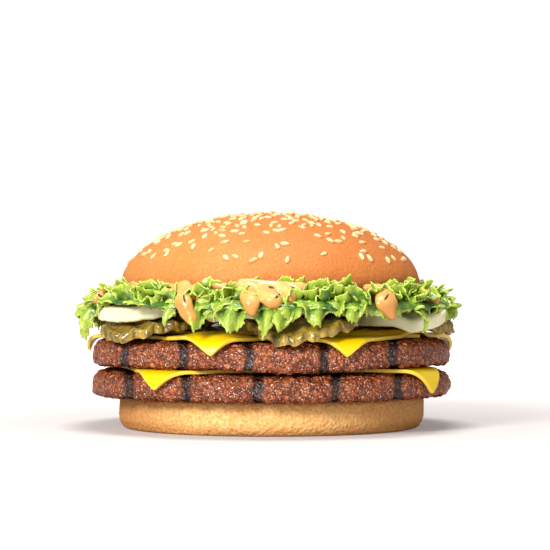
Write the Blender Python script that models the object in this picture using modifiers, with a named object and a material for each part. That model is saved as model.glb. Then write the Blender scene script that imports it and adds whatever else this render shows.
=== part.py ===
"""Double cheeseburger on a sesame seed bun, stacked from the plate up.

Lengths are in millimetres and angles in degrees until a piece is finished, when MM turns its mesh
into Blender's metres. The front of the burger faces -Y, angles run anticlockwise from +X, and the
origin is the middle of the flat underside of the heel.
"""

import math
import random

import bmesh
import bpy
import numpy
from mathutils import Matrix, Vector, noise
from mathutils.bvhtree import BVHTree

MM = 0.001
GAP = 0.35  # air left between pieces that touch
WELD = 0.001

HEEL_RADIUS = 55.0
HEEL_HEIGHT = 11.7
HEEL_FOOT_RADIUS = 51.0
HEEL_FOOT_ROUND = 4.5  # height of the rounding between foot and side
HEEL_LIP = 1.6  # rounding of the cut edge

PATTY_RADIUS = 64.0
PATTY_HALF = 4.5  # half of the thickness
PATTY_BULGE = 6.0  # how far the rounded rim stands past the flat of the patty
PATTY_SQUARE = 2.9  # 2 is an elliptic rim, and more is squarer
PATTY_SAG = 0.6  # how far the rim hangs down
PATTY_DROOP = 1.65  # how much more its underside hangs where no cheese holds it up
PATTY_UNEVEN = 0.8

CHEESE_SIDE = 89.0
CHEESE_THICK = 1.3
CHEESE_CLEAR = 1.3  # more air over the patty's rim, which is lumpy
CHEESE_STEPS = (0, 0.36, 0.62, 0.77, 0.89, 1)  # where the slice is divided, from its middle out
# the lower slice has melted out of square: its corners' radius and direction as it lies flat
LOWER_SLICE = ((71.0, 234), (73.0, 326.5), (58, 45), (68, 156))
# the two upper slices: where the middle is, and the direction of the first corner from there
LEFT_SLICE = ((-8.4, -5.6), 258.4)
RIGHT_SLICE = ((8.9, -4.9), 286.6)

CROWN_RADIUS = 54.0
CROWN_CUT_RADIUS = 49.5
CROWN_CUT = 48.85  # height of the cut face above the plate
CROWN_WIDEST = 51.8
CROWN_TOP = 76.9
CROWN_POWER = 1.87  # 2 is an ellipse, and less is more pointed

SEED_LENGTH, SEED_WIDTH, SEED_HIGH = 3.4, 2.0, 1.2
SEED_OUT = 0.1  # how far its middle is out of the crust, as a share of its thickness
SEED_COUNT = 60
SEED_SPACING = 2.9

PICKLE_WAVE = 6.0  # from one crinkle to the next
PICKLE_CRINKLE = 0.5  # half of the crinkle's depth
PICKLE_CUTS = 17
# each pickle: radius, thickness, middle, the turn of its crinkles, and the steepest that it bends
PICKLES = (
    (19.0, 3.4, -39.5, -30.0, 20, 0.36),
    (19.5, 3.4, 10.0, -47.5, 4, 0.6),
    (14.0, 3.4, 51.0, -9.0, 76, 0.4),
    (18.0, 3.4, 33.0, 30.0, 120, 0.36),
    (19.0, 3.4, -8.0, 43.0, 10, 0.36),
    (18.0, 3.4, -44.0, 14.0, 110, 0.36),
)

# each onion slice: radius, thickness, middle, the steepest that it bends, and the direction that the
# straight cut of a half slice faces
ONIONS = (
    (21.0, 4.1, -39.5, -23.5, 0.3, 20),
    (24.0, 3.8, -1.0, -38.0, 0.3, None),
    (17.6, 4.7, 44.0, -22.7, 0.46, None),
    (20.0, 4.1, 22.0, 34.0, 0.3, None),
    (21.0, 4.1, -30.0, 27.0, 0.3, None),
)

LEAF_THICK = 0.7
LEAF_WAVE = 12.5  # from one ruffle to the next along the margin
LOWER_LEAF_HEIGHT = 46.6
UPPER_LEAF_HEIGHT = 47.6
LEAF_BEND_AT = 57.0  # where the lower leaves start to bend down
LEAF_BEND = 3.2  # and how far they are down when they hang straight
LEAF_CURL_AT = 54.5  # where the upper leaves start to curl up
# where each leaf starts and ends round the burger
LOWER_LEAVES = ((205, 290), (291, 371), (12, 102), (103, 204))
UPPER_LEAVES = ((169, 237), (249.5, 257), (281.5, 298), (314, 378), (20, 90), (92, 167))

SAUCE_RADIUS = 46.0
SAUCE_LOW = 48.0
SAUCE_HIGH = CROWN_CUT - GAP
# each tongue of sauce: its direction, how low its tip hangs, and half its width in degrees
SAUCE_TONGUES = ((243.0, 38.5, 5.0), (263.5, 41.0, 5.5), (273.5, 44.6, 6.0), (306.0, 41.5, 6.5))

# the field of heights over which pickles and onion bend
FIELD_REACH = 80.0
FIELD_STEP = 1.6
NOTHING = -500.0


def smooth_step(low, high, value):
    """0 below low, 1 above high, and a soft rise between them."""
    share = min(1.0, max(0.0, (value - low) / (high - low)))
    return share * share * (3 - 2 * share)


def near(angle, centre, half_width):
    """1 at the centre angle, falling softly to 0 at half_width degrees on each side of it."""
    away = abs((angle - centre + 180) % 360 - 180)
    return 1 - smooth_step(0, half_width, away)


def angle_of(point):
    return math.degrees(math.atan2(point[1], point[0])) % 360


def at(radius, angle, height=0.0):
    """The point at that radius and angle round the burger's axis."""
    turn = math.radians(angle)
    return Vector((radius * math.cos(turn), radius * math.sin(turn), height))


def look(name, colour, roughness):
    """A plain material in the food's own colour."""
    made = bpy.data.materials.new(name)
    made.use_nodes = True
    shader = made.node_tree.nodes["Principled BSDF"]
    shader.inputs["Base Color"].default_value = (*colour, 1)
    shader.inputs["Roughness"].default_value = roughness
    shader.inputs["Metallic"].default_value = 0
    made.diffuse_color = (*colour, 1)
    return made


def piece(form, name, material, collection, smooth_below=60):
    """Turns a bmesh in millimetres into an object in metres, whose origin is in its own middle."""
    lows = [min(corner.co[axis] for corner in form.verts) for axis in range(3)]
    highs = [max(corner.co[axis] for corner in form.verts) for axis in range(3)]
    middle = (Vector(lows) + Vector(highs)) / 2
    bmesh.ops.translate(form, vec=-middle, verts=form.verts)
    bmesh.ops.scale(form, vec=(MM, MM, MM), verts=form.verts)
    mesh = bpy.data.meshes.new(name)
    form.to_mesh(mesh)
    form.free()
    mesh.materials.append(material)
    mesh.shade_smooth()
    mesh.set_sharp_from_angle(angle=math.radians(smooth_below))
    made = bpy.data.objects.new(name, mesh)
    made.location = middle * MM
    collection.objects.link(made)
    return made


def turned(outline, steps):
    """A closed round form. The outline runs from the axis above, out and down, to the axis below."""
    profile = bpy.data.meshes.new("profile")
    edges = [(index, index + 1) for index in range(len(outline) - 1)]
    profile.from_pydata([(radius, 0, height) for radius, height in outline], edges, [])
    guide = bpy.data.objects.new("profile", profile)
    bpy.context.scene.collection.objects.link(guide)
    screw = guide.modifiers.new("turn", "SCREW")
    screw.steps = screw.render_steps = steps
    screw.use_merge_vertices = True
    screw.merge_threshold = WELD
    form = bmesh.new()
    form.from_object(guide, bpy.context.evaluated_depsgraph_get())
    bmesh.ops.remove_doubles(form, verts=form.verts, dist=WELD)
    bpy.data.objects.remove(guide)
    bpy.data.meshes.remove(profile)
    return form


def warp(form, move):
    for corner in form.verts:
        corner.co = move(corner.co)


def quarter(centre_radius, centre_height, wide, high, start, end, count):
    """Points on part of an ellipse, by angle from the horizontal."""
    angles = [math.radians(start + (end - start) * i / (count - 1)) for i in range(count)]
    return [(centre_radius + wide * math.cos(a), centre_height + high * math.sin(a)) for a in angles]


def uneven(point, cell, depth, seed):
    """Moves a point in or out from the axis, by a noise whose lumps are about cell across."""
    amount = depth * noise.noise(Vector(point) / cell + Vector((seed, 0, 0)))
    away = Vector((point[0], point[1], 0))
    return Vector(point) + away.normalized() * amount if away.length > WELD else Vector(point)


# The heel, a turned loaf with a flat foot, a soft lower edge and a flat cut face on top


def make_heel(collection):
    edge = HEEL_RADIUS - HEEL_FOOT_RADIUS
    outline = [(0, HEEL_HEIGHT), (HEEL_RADIUS * 0.6, HEEL_HEIGHT)]
    outline += quarter(HEEL_RADIUS - HEEL_LIP, HEEL_HEIGHT - HEEL_LIP, HEEL_LIP, HEEL_LIP, 90, 0, 3)
    outline += quarter(HEEL_FOOT_RADIUS, HEEL_FOOT_ROUND, edge, HEEL_FOOT_ROUND, 0, -90, 4)
    outline += [(HEEL_FOOT_RADIUS * 0.6, 0), (0, 0)]
    form = turned(outline, 36)
    warp(form, lambda point: uneven(point, 30, 1.2, 3) if point.z > 1 else point)
    return piece(form, "bun_heel", look("toasted_heel", (0.72, 0.42, 0.17), 0.75), collection)


# The patties, coarse minced beef discs with a lumpy rounded rim that sags where nothing holds it up


def rim(turn, out=0.0):
    """(radius, height) on a patty's rim, by angle from its waist, moved out of the skin by out."""
    flat = PATTY_RADIUS - PATTY_BULGE
    side = math.cos(math.radians(turn)) ** (2 / PATTY_SQUARE)
    up = math.sin(math.radians(turn)) ** (2 / PATTY_SQUARE)
    slope = Vector((side ** (PATTY_SQUARE - 1) / PATTY_BULGE, up ** (PATTY_SQUARE - 1) / PATTY_HALF))
    slope.normalize()
    return flat + PATTY_BULGE * side + slope.x * out, PATTY_HALF * up + slope.y * out


def rim_sag(radius):
    """How far down a patty's rim hangs, and whatever lies on it too."""
    return PATTY_SAG * smooth_step(54, PATTY_RADIUS, radius)


def make_patty(name, height, held_by, seed, material, collection):
    """held_by is the corners of the slice below, if there is one, which holds the rim up."""
    flat = PATTY_RADIUS - PATTY_BULGE
    upper = [rim(turn) for turn in (89.9, 65, 35, 14, 0)]
    outline = [(0, PATTY_HALF), (flat * 0.8, PATTY_HALF)] + upper
    outline += [(radius, -up) for radius, up in reversed(upper[:-1])]
    outline += [(flat * 0.8, -PATTY_HALF), (0, -PATTY_HALF)]
    form = turned(outline, 36)

    def lumpy(point):
        radius = math.hypot(point.x, point.y)
        moved = uneven(point, 9, PATTY_UNEVEN * smooth_step(40, PATTY_RADIUS, radius), seed)
        moved.z += height - rim_sag(radius)
        if held_by:
            free = smooth_step(5, 14, -inside_slice(held_by, point.xy)) * smooth_step(50, PATTY_RADIUS, radius)
            moved.z -= PATTY_DROOP * free * (PATTY_HALF - point.z) / (2 * PATTY_HALF)
        return moved

    warp(form, lumpy)
    return piece(form, name, material, collection)


# The cheese, square slices that lie on a patty and hang over its rim at the corners


def rim_path(height):
    """The way of a slice over a patty's rim, as (distance along it, radius, height) from the axis out.

    Below the patty's waist the slice hangs straight down.
    """
    lift = CHEESE_THICK / 2 + GAP
    points = [(PATTY_RADIUS - PATTY_BULGE - 8, PATTY_HALF + lift)]
    points += [rim(turn, lift + CHEESE_CLEAR * math.cos(math.radians(turn))) for turn in range(89, 0, -8)]
    points.append((points[-1][0] + 0.3, points[-1][1] - 20))
    way = [(0.0, 0.0, height + PATTY_HALF + lift)]
    for radius, up in points:
        gone, last_radius, last_up = way[-1]
        up += height
        way.append((gone + math.hypot(radius - last_radius, up - last_up), radius, up))
    return way


def along(way, distance):
    """(radius, height) at a distance along a way."""
    for (gone, radius, up), (next_gone, next_radius, next_up) in zip(way, way[1:]):
        if distance <= next_gone:
            share = (distance - gone) / max(next_gone - gone, WELD)
            return radius + (next_radius - radius) * share, up + (next_up - up) * share
    return way[-1][1:]


def slice_corners(shift, turn):
    """The slice's corners as it lies flat. turn is the direction of its first corner from its middle."""
    reach = CHEESE_SIDE / math.sqrt(2)
    return [Vector(shift) + at(reach, turn + 90 * k).xy for k in range(4)]


def inside_slice(corners, point):
    """How far a point is inside a slice's nearest side, and below 0 outside it."""
    depths = []
    for first, second in zip(corners, corners[1:] + corners[:1]):
        side = (second - first).normalized()
        away = Vector(point) - first
        depths.append(side.x * away.y - side.y * away.x)
    return min(depths)


def make_cheese(name, height, corners, material, collection, over=None):
    """A slice draped on the patty whose middle is at that height. It steps up over the slice `over`."""
    way = rim_path(height)
    form = bmesh.new()
    cells = 2 * len(CHEESE_STEPS) - 2
    bmesh.ops.create_grid(form, x_segments=cells, y_segments=cells, size=1)

    def spaced(value):
        step = round(abs(value) * cells / 2)
        return math.copysign(CHEESE_STEPS[step], value)

    def drape(corner):
        across, up = (spaced(corner.x) + 1) / 2, (spaced(corner.y) + 1) / 2
        flat = corners[0].lerp(corners[1], across).lerp(corners[3].lerp(corners[2], across), up)
        # each corner folds down along a straight line, square to the way that it points
        pointing = corners[(0, 1, 3, 2)[(across > 0.5) + 2 * (up > 0.5)]].normalized()
        out = flat.dot(pointing)
        radius, height = along(way, out)
        flap = flat + pointing * (radius - out)
        height -= rim_sag(min(flap.length, PATTY_RADIUS))
        if over:
            height += (CHEESE_THICK + GAP) * smooth_step(-24, -12, inside_slice(over, flat))
        return Vector((flap.x, flap.y, height))

    warp(form, drape)
    bmesh.ops.triangulate(form, faces=form.faces)
    cheese = piece(form, name, material, collection)
    cheese.modifiers.new("slice", "SOLIDIFY").thickness = CHEESE_THICK * MM
    cheese.modifiers["slice"].offset = 0
    return cheese


# The pickles and the onion bend over whatever is below them, each with a stiffness of its own


def tree_of(supports):
    """One search tree of all the faces of some objects, in millimetres."""
    bpy.context.view_layer.update()
    graph = bpy.context.evaluated_depsgraph_get()
    points, faces = [], []
    for thing in supports:
        solid = thing.evaluated_get(graph)
        mesh = solid.to_mesh()
        mesh.calc_loop_triangles()
        start = len(points)
        points += [solid.matrix_world @ corner.co / MM for corner in mesh.vertices]
        faces += [[start + index for index in triangle.vertices] for triangle in mesh.loop_triangles]
        solid.to_mesh_clear()
    return BVHTree.FromPolygons(points, faces)


def field_of(tree):
    """Heights of the top of what is in a tree, on a square field of places FIELD_STEP apart."""
    places = numpy.arange(-FIELD_REACH, FIELD_REACH + FIELD_STEP / 2, FIELD_STEP)
    field = numpy.full((len(places), len(places)), NOTHING)
    for row, x in enumerate(places):
        for column, y in enumerate(places):
            hit = tree.ray_cast(Vector((x, y, -NOTHING)), Vector((0, 0, -1)))[0]
            if hit:
                field[row, column] = hit.z
    return field


def spread_out(field, slope):
    """Each place takes the highest of its neighbours, less what a sheet of that slope drops on the way."""
    risen = field
    for across in (-1, 0, 1):
        for up in (-1, 0, 1):
            fall = slope * FIELD_STEP * math.hypot(across, up)
            risen = numpy.maximum(risen, numpy.roll(field, (across, up), (0, 1)) - fall)
    return risen


def resting(tree, middle, radius, slope):
    """A function of (x, y): the height of a round sheet on what is in a tree, no steeper than slope."""
    field = spread_out(field_of(tree), 0)
    places = numpy.arange(-FIELD_REACH, FIELD_REACH + FIELD_STEP / 2, FIELD_STEP)
    x, y = numpy.meshgrid(places, places, indexing="ij")
    field[numpy.hypot(x - middle[0], y - middle[1]) > radius + FIELD_STEP] = NOTHING
    for _ in range(36):
        field = spread_out(field, slope)

    def height(x, y):
        across, up = (x + FIELD_REACH) / FIELD_STEP, (y + FIELD_REACH) / FIELD_STEP
        i, j = int(across), int(up)
        s, t = across - i, up - j
        near_side = field[i, j] * (1 - s) + field[i + 1, j] * s
        far_side = field[i, j + 1] * (1 - s) + field[i + 1, j + 1] * s
        return near_side * (1 - t) + far_side * t

    return height


def lay(form, middle, radius, turn, supports, slope):
    """Turns a flat round form about its axis, moves it to its place, and bends it over the supports."""
    tree = tree_of(supports)
    rest = resting(tree, middle, radius, slope)
    spin = Matrix.Rotation(math.radians(turn), 3, "Z")

    def bend(corner):
        moved = spin @ corner + Vector((middle[0], middle[1], 0))
        moved.z += rest(moved.x, moved.y)
        return moved

    warp(form, bend)
    # its straight faces can still cut into what is below, so it is lifted clear, and then by the gap
    while BVHTree.FromBMesh(form).overlap(tree):
        warp(form, lambda corner: corner + Vector((0, 0, 0.1)))
    warp(form, lambda corner: corner + Vector((0, 0, GAP)))


# The pickles, crinkle-cut gherkin slices with waves on both faces


def make_pickle(name, radius, thick, middle, turn, slope, supports, material, collection):
    form = bmesh.new()
    bmesh.ops.create_cube(form, size=2)
    lengthways = [edge for edge in form.edges if abs(edge.verts[0].co.x - edge.verts[1].co.x) > 1]
    bmesh.ops.subdivide_edges(form, edges=lengthways, cuts=PICKLE_CUTS, use_grid_fill=True)
    sideways = [edge for edge in form.edges if abs(edge.verts[0].co.y - edge.verts[1].co.y) > 1]
    bmesh.ops.subdivide_edges(form, edges=sideways, cuts=2, use_grid_fill=True)

    def crinkle(corner):
        x = 0.97 * radius * corner.x
        chord = math.sqrt(radius * radius - x * x)
        wave = PICKLE_CRINKLE * (1 + math.cos(math.tau * x / PICKLE_WAVE))
        return Vector((x, corner.y * chord, (corner.z + 1) * thick / 2 + wave))

    warp(form, crinkle)
    bmesh.ops.triangulate(form, faces=form.faces)
    lay(form, middle, radius, turn, supports, slope)
    return piece(form, name, material, collection, smooth_below=35)


# The onion, thick raw slices, each as wide as the bulb it was cut from


def make_onion(name, radius, thick, middle, slope, cut_side, supports, material, collection):
    """cut_side is the direction that the straight edge of a half slice faces, or None."""
    outline = [(0, thick), (radius * 0.55, thick), (radius - 0.9, thick), (radius, thick * 0.66)]
    outline += [(radius - 0.2, thick * 0.25), (radius - 1.2, 0), (radius * 0.55, 0), (0, 0)]
    form = turned(outline, 22)
    if cut_side is not None:
        whole = form.verts[:] + form.edges[:] + form.faces[:]
        cut = bmesh.ops.bisect_plane(
            form, geom=whole, plane_co=(0, 0, 0), plane_no=at(1, cut_side), clear_outer=True
        )
        sides = [item for item in cut["geom_cut"] if isinstance(item, bmesh.types.BMEdge)]
        bmesh.ops.holes_fill(form, edges=sides)
        bmesh.ops.recalc_face_normals(form, faces=form.faces)
    bmesh.ops.triangulate(form, faces=form.faces)
    lay(form, middle, radius, 0, supports, slope)
    return piece(form, name, material, collection, smooth_below=50)


# The lettuce, ruffled green leaves: a lower row that hangs down and an upper row that curls up


def leaf_sheet(start, end, rows, place):
    """An open sheet of triangles. place(along, across) gives the point, both running from 0 to 1."""
    length = math.radians(end - start) * PATTY_RADIUS
    columns = max(4, round(3 * length / LEAF_WAVE))
    form = bmesh.new()
    bmesh.ops.create_grid(form, x_segments=columns, y_segments=rows, size=0.5)
    warp(form, lambda corner: place(corner.x + 0.5, corner.y + 0.5))
    bmesh.ops.triangulate(form, faces=form.faces)
    return form


def ruffle(angle, phase):
    """The leaf's side to side wave at a place round the burger, from -1 to 1, uneven in pace."""
    distance = math.radians(angle) * PATTY_RADIUS
    pace = 0.9 * math.sin(distance / 17 + phase) + 0.5 * math.sin(distance / 7.7 + 2 * phase)
    return math.sin(math.tau * distance / LEAF_WAVE + pace)


def hang(reach, drop, share, out=0.0, up=0.0):
    """(radius, height) on the way of a lower leaf past its bend, from 0 there to 1 at its margin.

    out and up move the way off the leaf, below its bend and above it.
    """
    turn = min(1.0, share * 2) * math.pi / 2
    fall = max(0.0, share - 0.5) * 2
    radius = LEAF_BEND_AT + (reach - LEAF_BEND_AT + out) * math.sin(turn)
    height = LOWER_LEAF_HEIGHT - LEAF_BEND + (LEAF_BEND + up) * math.cos(turn)
    return radius, height - fall * max(0.0, drop - LEAF_BEND)


def lower_reach(angle):
    """How far out the lower leaves hang at each place."""
    return 69.6 + 1.0 * near(angle, 180, 60) - 1.0 * near(angle, 0, 60)


def lower_drop(angle):
    """How far down the lower leaves hang at each place, which is less where the onion shows."""
    onion = max(near(angle, 216, 26), near(angle, 348, 24))
    return 10.0 - 7.5 * onion + 2.0 * near(angle, 180, 14)


def pressed(angle):
    """1 under a tongue of sauce, which holds the leaf's ruffles flat."""
    most = max(near(angle, direction, half_width * 2.5) for direction, _, half_width in SAUCE_TONGUES)
    return min(1.0, 1.6 * most)


def make_lower_leaf(name, start, end, phase, material, collection):
    """This leaf lies flat under the crown, bends over past the onion, and hangs in lobes."""

    def place(share, across):
        angle = start + (end - start) * share
        ends = 1 - abs(2 * share - 1) ** 6
        inner = 24 + 12 * (1 - ends)
        if across <= 0.25:
            return at(inner + (LEAF_BEND_AT - inner) * across * 4, angle, LOWER_LEAF_HEIGHT)
        past = (across - 0.25) / 0.75
        lobes = 1 + 0.4 * math.sin(math.radians(angle) * 23 + phase)
        drop = lower_drop(angle) * (0.3 + 0.7 * ends) * lobes
        radius, height = hang(lower_reach(angle) - 1.2 * pressed(angle), drop, past)
        radius += 1.7 * ruffle(angle, phase) * (1 - 0.85 * pressed(angle)) * smooth_step(0.2, 1, past)
        return at(radius, angle, height)

    form = leaf_sheet(start, end, 4, place)
    return leaf_object(form, name, material, collection)


def make_upper_leaf(name, start, end, phase, material, collection):
    """This leaf lies flat, passes under the crown's edge, and curls up outside it."""

    def place(share, across):
        angle = start + (end - start) * share
        ends = 1 - abs(2 * share - 1) ** 4
        wave = ruffle(angle, phase)
        inner = 30 + 10 * (1 - ends)
        if across < 0.34:
            return at(inner + (LEAF_CURL_AT - inner) * across * 3, angle, UPPER_LEAF_HEIGHT)
        curl = (across * 3 - 1) / 2
        radius = LEAF_CURL_AT + (7.5 * ends + 2) * math.sin(curl * 1.35)
        height = UPPER_LEAF_HEIGHT + curl * (3.4 + 4.2 * wave * ends * smooth_step(0.1, 1, curl)) * ends
        return at(radius + 0.8 * wave * curl, angle, height)

    form = leaf_sheet(start, end, 3, place)
    return leaf_object(form, name, material, collection)


def leaf_object(form, name, material, collection):
    leaf = piece(form, name, material, collection)
    leaf.modifiers.new("leaf", "SOLIDIFY").thickness = LEAF_THICK * MM
    leaf.modifiers["leaf"].offset = 0
    return leaf


# The sauce, a spread under the crown that runs out over the leaves in tongues


def make_sauce(material, collection):
    outline = [(0, SAUCE_HIGH), (SAUCE_RADIUS, SAUCE_HIGH), (SAUCE_RADIUS, SAUCE_LOW), (0, SAUCE_LOW)]
    spread = turned(outline, 24)
    sauce = piece(spread, "sauce", material, collection)
    tongues = bpy.data.collections.new("sauce_tongues")
    bpy.context.scene.collection.children.link(tongues)
    for index, (direction, tip, half_width) in enumerate(SAUCE_TONGUES):
        form = bmesh.new()
        bmesh.ops.create_cube(form, size=1)
        lengthways = [edge for edge in form.edges if abs(edge.verts[0].co.x - edge.verts[1].co.x) > 0.5]
        bmesh.ops.subdivide_edges(form, edges=lengthways, cuts=5, use_grid_fill=True)
        sideways = [edge for edge in form.edges if abs(edge.verts[0].co.y - edge.verts[1].co.y) > 0.5]
        bmesh.ops.subdivide_edges(form, edges=sideways, cuts=2, use_grid_fill=True)
        reach = lower_reach(direction) - 1.2
        above = SAUCE_LOW + 0.03 - LOWER_LEAF_HEIGHT

        def run(corner, direction=direction, tip=tip, half_width=half_width, reach=reach, above=above):
            share, outward = corner.x + 0.5, corner.z + 0.5
            taper = 1 - 0.2 * share - 0.6 * smooth_step(0.5, 1, share)
            angle = direction + 2 * corner.y * half_width * taper
            middle = 1 - (2 * corner.y) ** 2
            thick = 0.5 + (0.5 + 1.4 * middle) * smooth_step(0.35, 0.6, share)
            thick *= outward * (1 - 0.5 * smooth_step(0.85, 1, share))
            if share < 0.34:
                radius = SAUCE_RADIUS - 6 + (LEAF_BEND_AT - SAUCE_RADIUS + 6) * share * 3
                return at(radius, angle, LOWER_LEAF_HEIGHT + above + thick)
            past = (share * 3 - 1) / 2
            drop = LOWER_LEAF_HEIGHT - tip
            radius, height = hang(reach, drop, past, 1.2 + thick, above + thick)
            return at(radius, angle, height)

        warp(form, run)
        bmesh.ops.triangulate(form, faces=form.faces)
        piece(form, f"tongue_{index}", material, tongues)
    # the exact solver leaves a gap where two tongues cross
    join(sauce, tongues, "MANIFOLD")
    return sauce


# The crown, a domed bun with a flat cut face, sown with sesame seeds


def crown_outline(count):
    """The crown's half outline from its top to the middle of its cut face."""
    dome = [(0, CROWN_TOP)]
    for step in range(1, count):
        turn = math.pi / 2 * (1 - step / count)
        across = math.cos(turn) ** (2 / CROWN_POWER)
        up = math.sin(turn) ** (2 / CROWN_POWER)
        dome.append((CROWN_RADIUS * across, CROWN_WIDEST + (CROWN_TOP - CROWN_WIDEST) * up))
    lip = quarter(
        CROWN_CUT_RADIUS, CROWN_WIDEST, CROWN_RADIUS - CROWN_CUT_RADIUS, CROWN_WIDEST - CROWN_CUT, 0, -90, 4
    )
    return dome + lip + [(CROWN_CUT_RADIUS * 0.6, CROWN_CUT), (0, CROWN_CUT)]


def crown_warp(point):
    """The dome isn't quite round: its sides are a little uneven."""
    rise = smooth_step(CROWN_CUT, CROWN_TOP, point.z)
    return uneven(point, 34, 1.6 * smooth_step(CROWN_CUT, CROWN_WIDEST, point.z) * (1 - rise), 8)


def seed_places(surface, count):
    """Places on the dome, with the normal there: crowded at the top, thinning out down the sides."""
    draw = random.Random(11)
    found = []
    while len(found) < count:
        angle, radius = draw.uniform(0, 360), 50 * math.sqrt(draw.random())
        if draw.random() > 1 - 0.75 * smooth_step(26, 50, radius):
            continue
        above = at(radius, angle, 200) * MM
        spot, normal = surface.ray_cast(above, Vector((0, 0, -1)))[:2]
        if spot and all((spot - other).length > SEED_SPACING * MM for other, _, _ in found):
            found.append((spot, normal, draw.uniform(0, 360)))
    return found


def make_seed(name, spot, normal, turn, material, collection):
    """A flat drop shape, pointed at one end, half sunk in the crust."""
    form = bmesh.new()
    bmesh.ops.create_icosphere(form, subdivisions=1, radius=0.5)

    def drop(corner):
        narrow = 1 - 0.35 * (corner.x + 0.5)
        return Vector((corner.x * SEED_LENGTH, corner.y * SEED_WIDTH * narrow * 1.2, corner.z * SEED_HIGH))

    warp(form, drop)
    seed = piece(form, name, material, collection)
    seed.rotation_mode = "QUATERNION"
    seed.rotation_quaternion = normal.to_track_quat("Z", "X") @ Vector((1, 0, 0)).rotation_difference(at(1, turn))
    seed.location = spot + normal * SEED_HIGH * SEED_OUT * MM
    return seed


def join(solid, others, solver):
    """Fuses a collection of closed solids into one, applies it, and removes them."""
    bpy.context.view_layer.update()
    fuse = solid.modifiers.new("fuse", "BOOLEAN")
    fuse.operation = "UNION"
    fuse.operand_type = "COLLECTION"
    fuse.collection = others
    fuse.solver = solver
    bpy.context.view_layer.objects.active = solid
    bpy.ops.object.modifier_apply(modifier="fuse")
    for other in list(others.objects):
        bpy.data.objects.remove(other)
    bpy.data.collections.remove(others)


def make_crown(collection):
    form = turned(crown_outline(9), 36)
    warp(form, crown_warp)
    points = [corner.co.copy() * MM for corner in form.verts]
    faces = [[corner.index for corner in face.verts] for face in form.faces]
    surface = BVHTree.FromPolygons(points, faces)
    crown = piece(form, "bun_crown", look("baked_crown", (0.72, 0.33, 0.10), 0.45), collection)
    seeds = bpy.data.collections.new("seeds")
    bpy.context.scene.collection.children.link(seeds)
    hull = look("sesame", (0.86, 0.66, 0.38), 0.55)
    for index, (spot, normal, turn) in enumerate(seed_places(surface, SEED_COUNT)):
        make_seed(f"seed_{index}", spot, normal, turn, hull, seeds)
    join(crown, seeds, "EXACT")
    return crown


def build():
    for old in list(bpy.data.objects):
        bpy.data.objects.remove(old)
    burger = bpy.data.collections.new("double_cheeseburger")
    bpy.context.scene.collection.children.link(burger)

    make_heel(burger)

    beef = look("grilled_beef", (0.24, 0.075, 0.03), 0.45)
    lower_height = HEEL_HEIGHT + GAP + PATTY_HALF
    upper_height = lower_height + 2 * PATTY_HALF + CHEESE_THICK + 2 * GAP
    lower_corners = [at(radius, angle).xy for radius, angle in LOWER_SLICE]
    make_patty("patty_lower", lower_height, None, 21, beef, burger)
    upper = make_patty("patty_upper", upper_height, lower_corners, 47, beef, burger)

    melted = look("cheese", (0.95, 0.60, 0.02), 0.35)
    left_corners = slice_corners(*LEFT_SLICE)
    make_cheese("cheese_lower", lower_height, lower_corners, melted, burger)
    left = make_cheese("cheese_upper_left", upper_height, left_corners, melted, burger)
    right = make_cheese(
        "cheese_upper_right", upper_height, slice_corners(*RIGHT_SLICE), melted, burger, over=left_corners
    )
    stack = [upper, left, right]

    skin = look("pickle", (0.33, 0.28, 0.05), 0.35)
    pickles = []
    for index, (radius, thick, x, y, turn, slope) in enumerate(PICKLES, 1):
        pickles.append(make_pickle(f"pickle_{index}", radius, thick, (x, y), turn, slope, stack, skin, burger))
    stack += pickles

    white = look("onion", (0.78, 0.76, 0.60), 0.3)
    for index, (radius, thick, x, y, slope, cut_side) in enumerate(ONIONS, 1):
        make_onion(f"onion_{index}", radius, thick, (x, y), slope, cut_side, stack, white, burger)

    green = look("lettuce", (0.25, 0.50, 0.06), 0.4)
    for index, (start, end) in enumerate(LOWER_LEAVES, 1):
        make_lower_leaf(f"lettuce_lower_{index}", start, end, index, green, burger)
    for index, (start, end) in enumerate(UPPER_LEAVES, 1):
        make_upper_leaf(f"lettuce_upper_{index}", start, end, 2 * index, green, burger)
    make_sauce(look("sauce", (0.85, 0.48, 0.18), 0.25), burger)
    make_crown(burger)


build()
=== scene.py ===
"""The double cheeseburger, dressed for the camera in the order that it is stacked.

Lengths are in millimetres and angles in degrees until a piece is served, when MM turns its mesh into
Blender's metres. The front faces -Y, and angles run anticlockwise from +X round the burger's axis.
"""

import random
from math import atan2, cos, degrees, dist, hypot, inf, pi, radians, sin, sqrt, tau

import bmesh
import bpy
import numpy
from mathutils import Matrix, Vector, noise
from mathutils.bvhtree import BVHTree


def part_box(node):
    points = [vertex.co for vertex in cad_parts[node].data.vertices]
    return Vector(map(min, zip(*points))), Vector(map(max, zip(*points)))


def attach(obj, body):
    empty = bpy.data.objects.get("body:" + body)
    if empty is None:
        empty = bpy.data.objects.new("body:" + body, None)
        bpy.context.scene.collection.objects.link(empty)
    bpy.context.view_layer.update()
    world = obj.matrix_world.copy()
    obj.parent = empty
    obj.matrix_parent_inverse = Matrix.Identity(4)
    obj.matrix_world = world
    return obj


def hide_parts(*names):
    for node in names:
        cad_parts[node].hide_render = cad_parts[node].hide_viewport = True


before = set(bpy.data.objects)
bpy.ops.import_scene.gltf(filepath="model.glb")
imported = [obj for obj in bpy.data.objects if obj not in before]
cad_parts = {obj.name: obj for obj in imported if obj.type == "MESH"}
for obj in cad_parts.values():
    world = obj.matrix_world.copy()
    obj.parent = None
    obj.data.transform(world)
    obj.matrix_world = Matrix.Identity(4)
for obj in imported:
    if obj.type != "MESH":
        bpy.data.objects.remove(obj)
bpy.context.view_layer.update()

# The heel is the bottom half of a soft wheat bun. It was baked on a tray, which left it a flat foot,
# and then sliced through. Its side is a tight pale crumb under a thin toasted skin.

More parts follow.
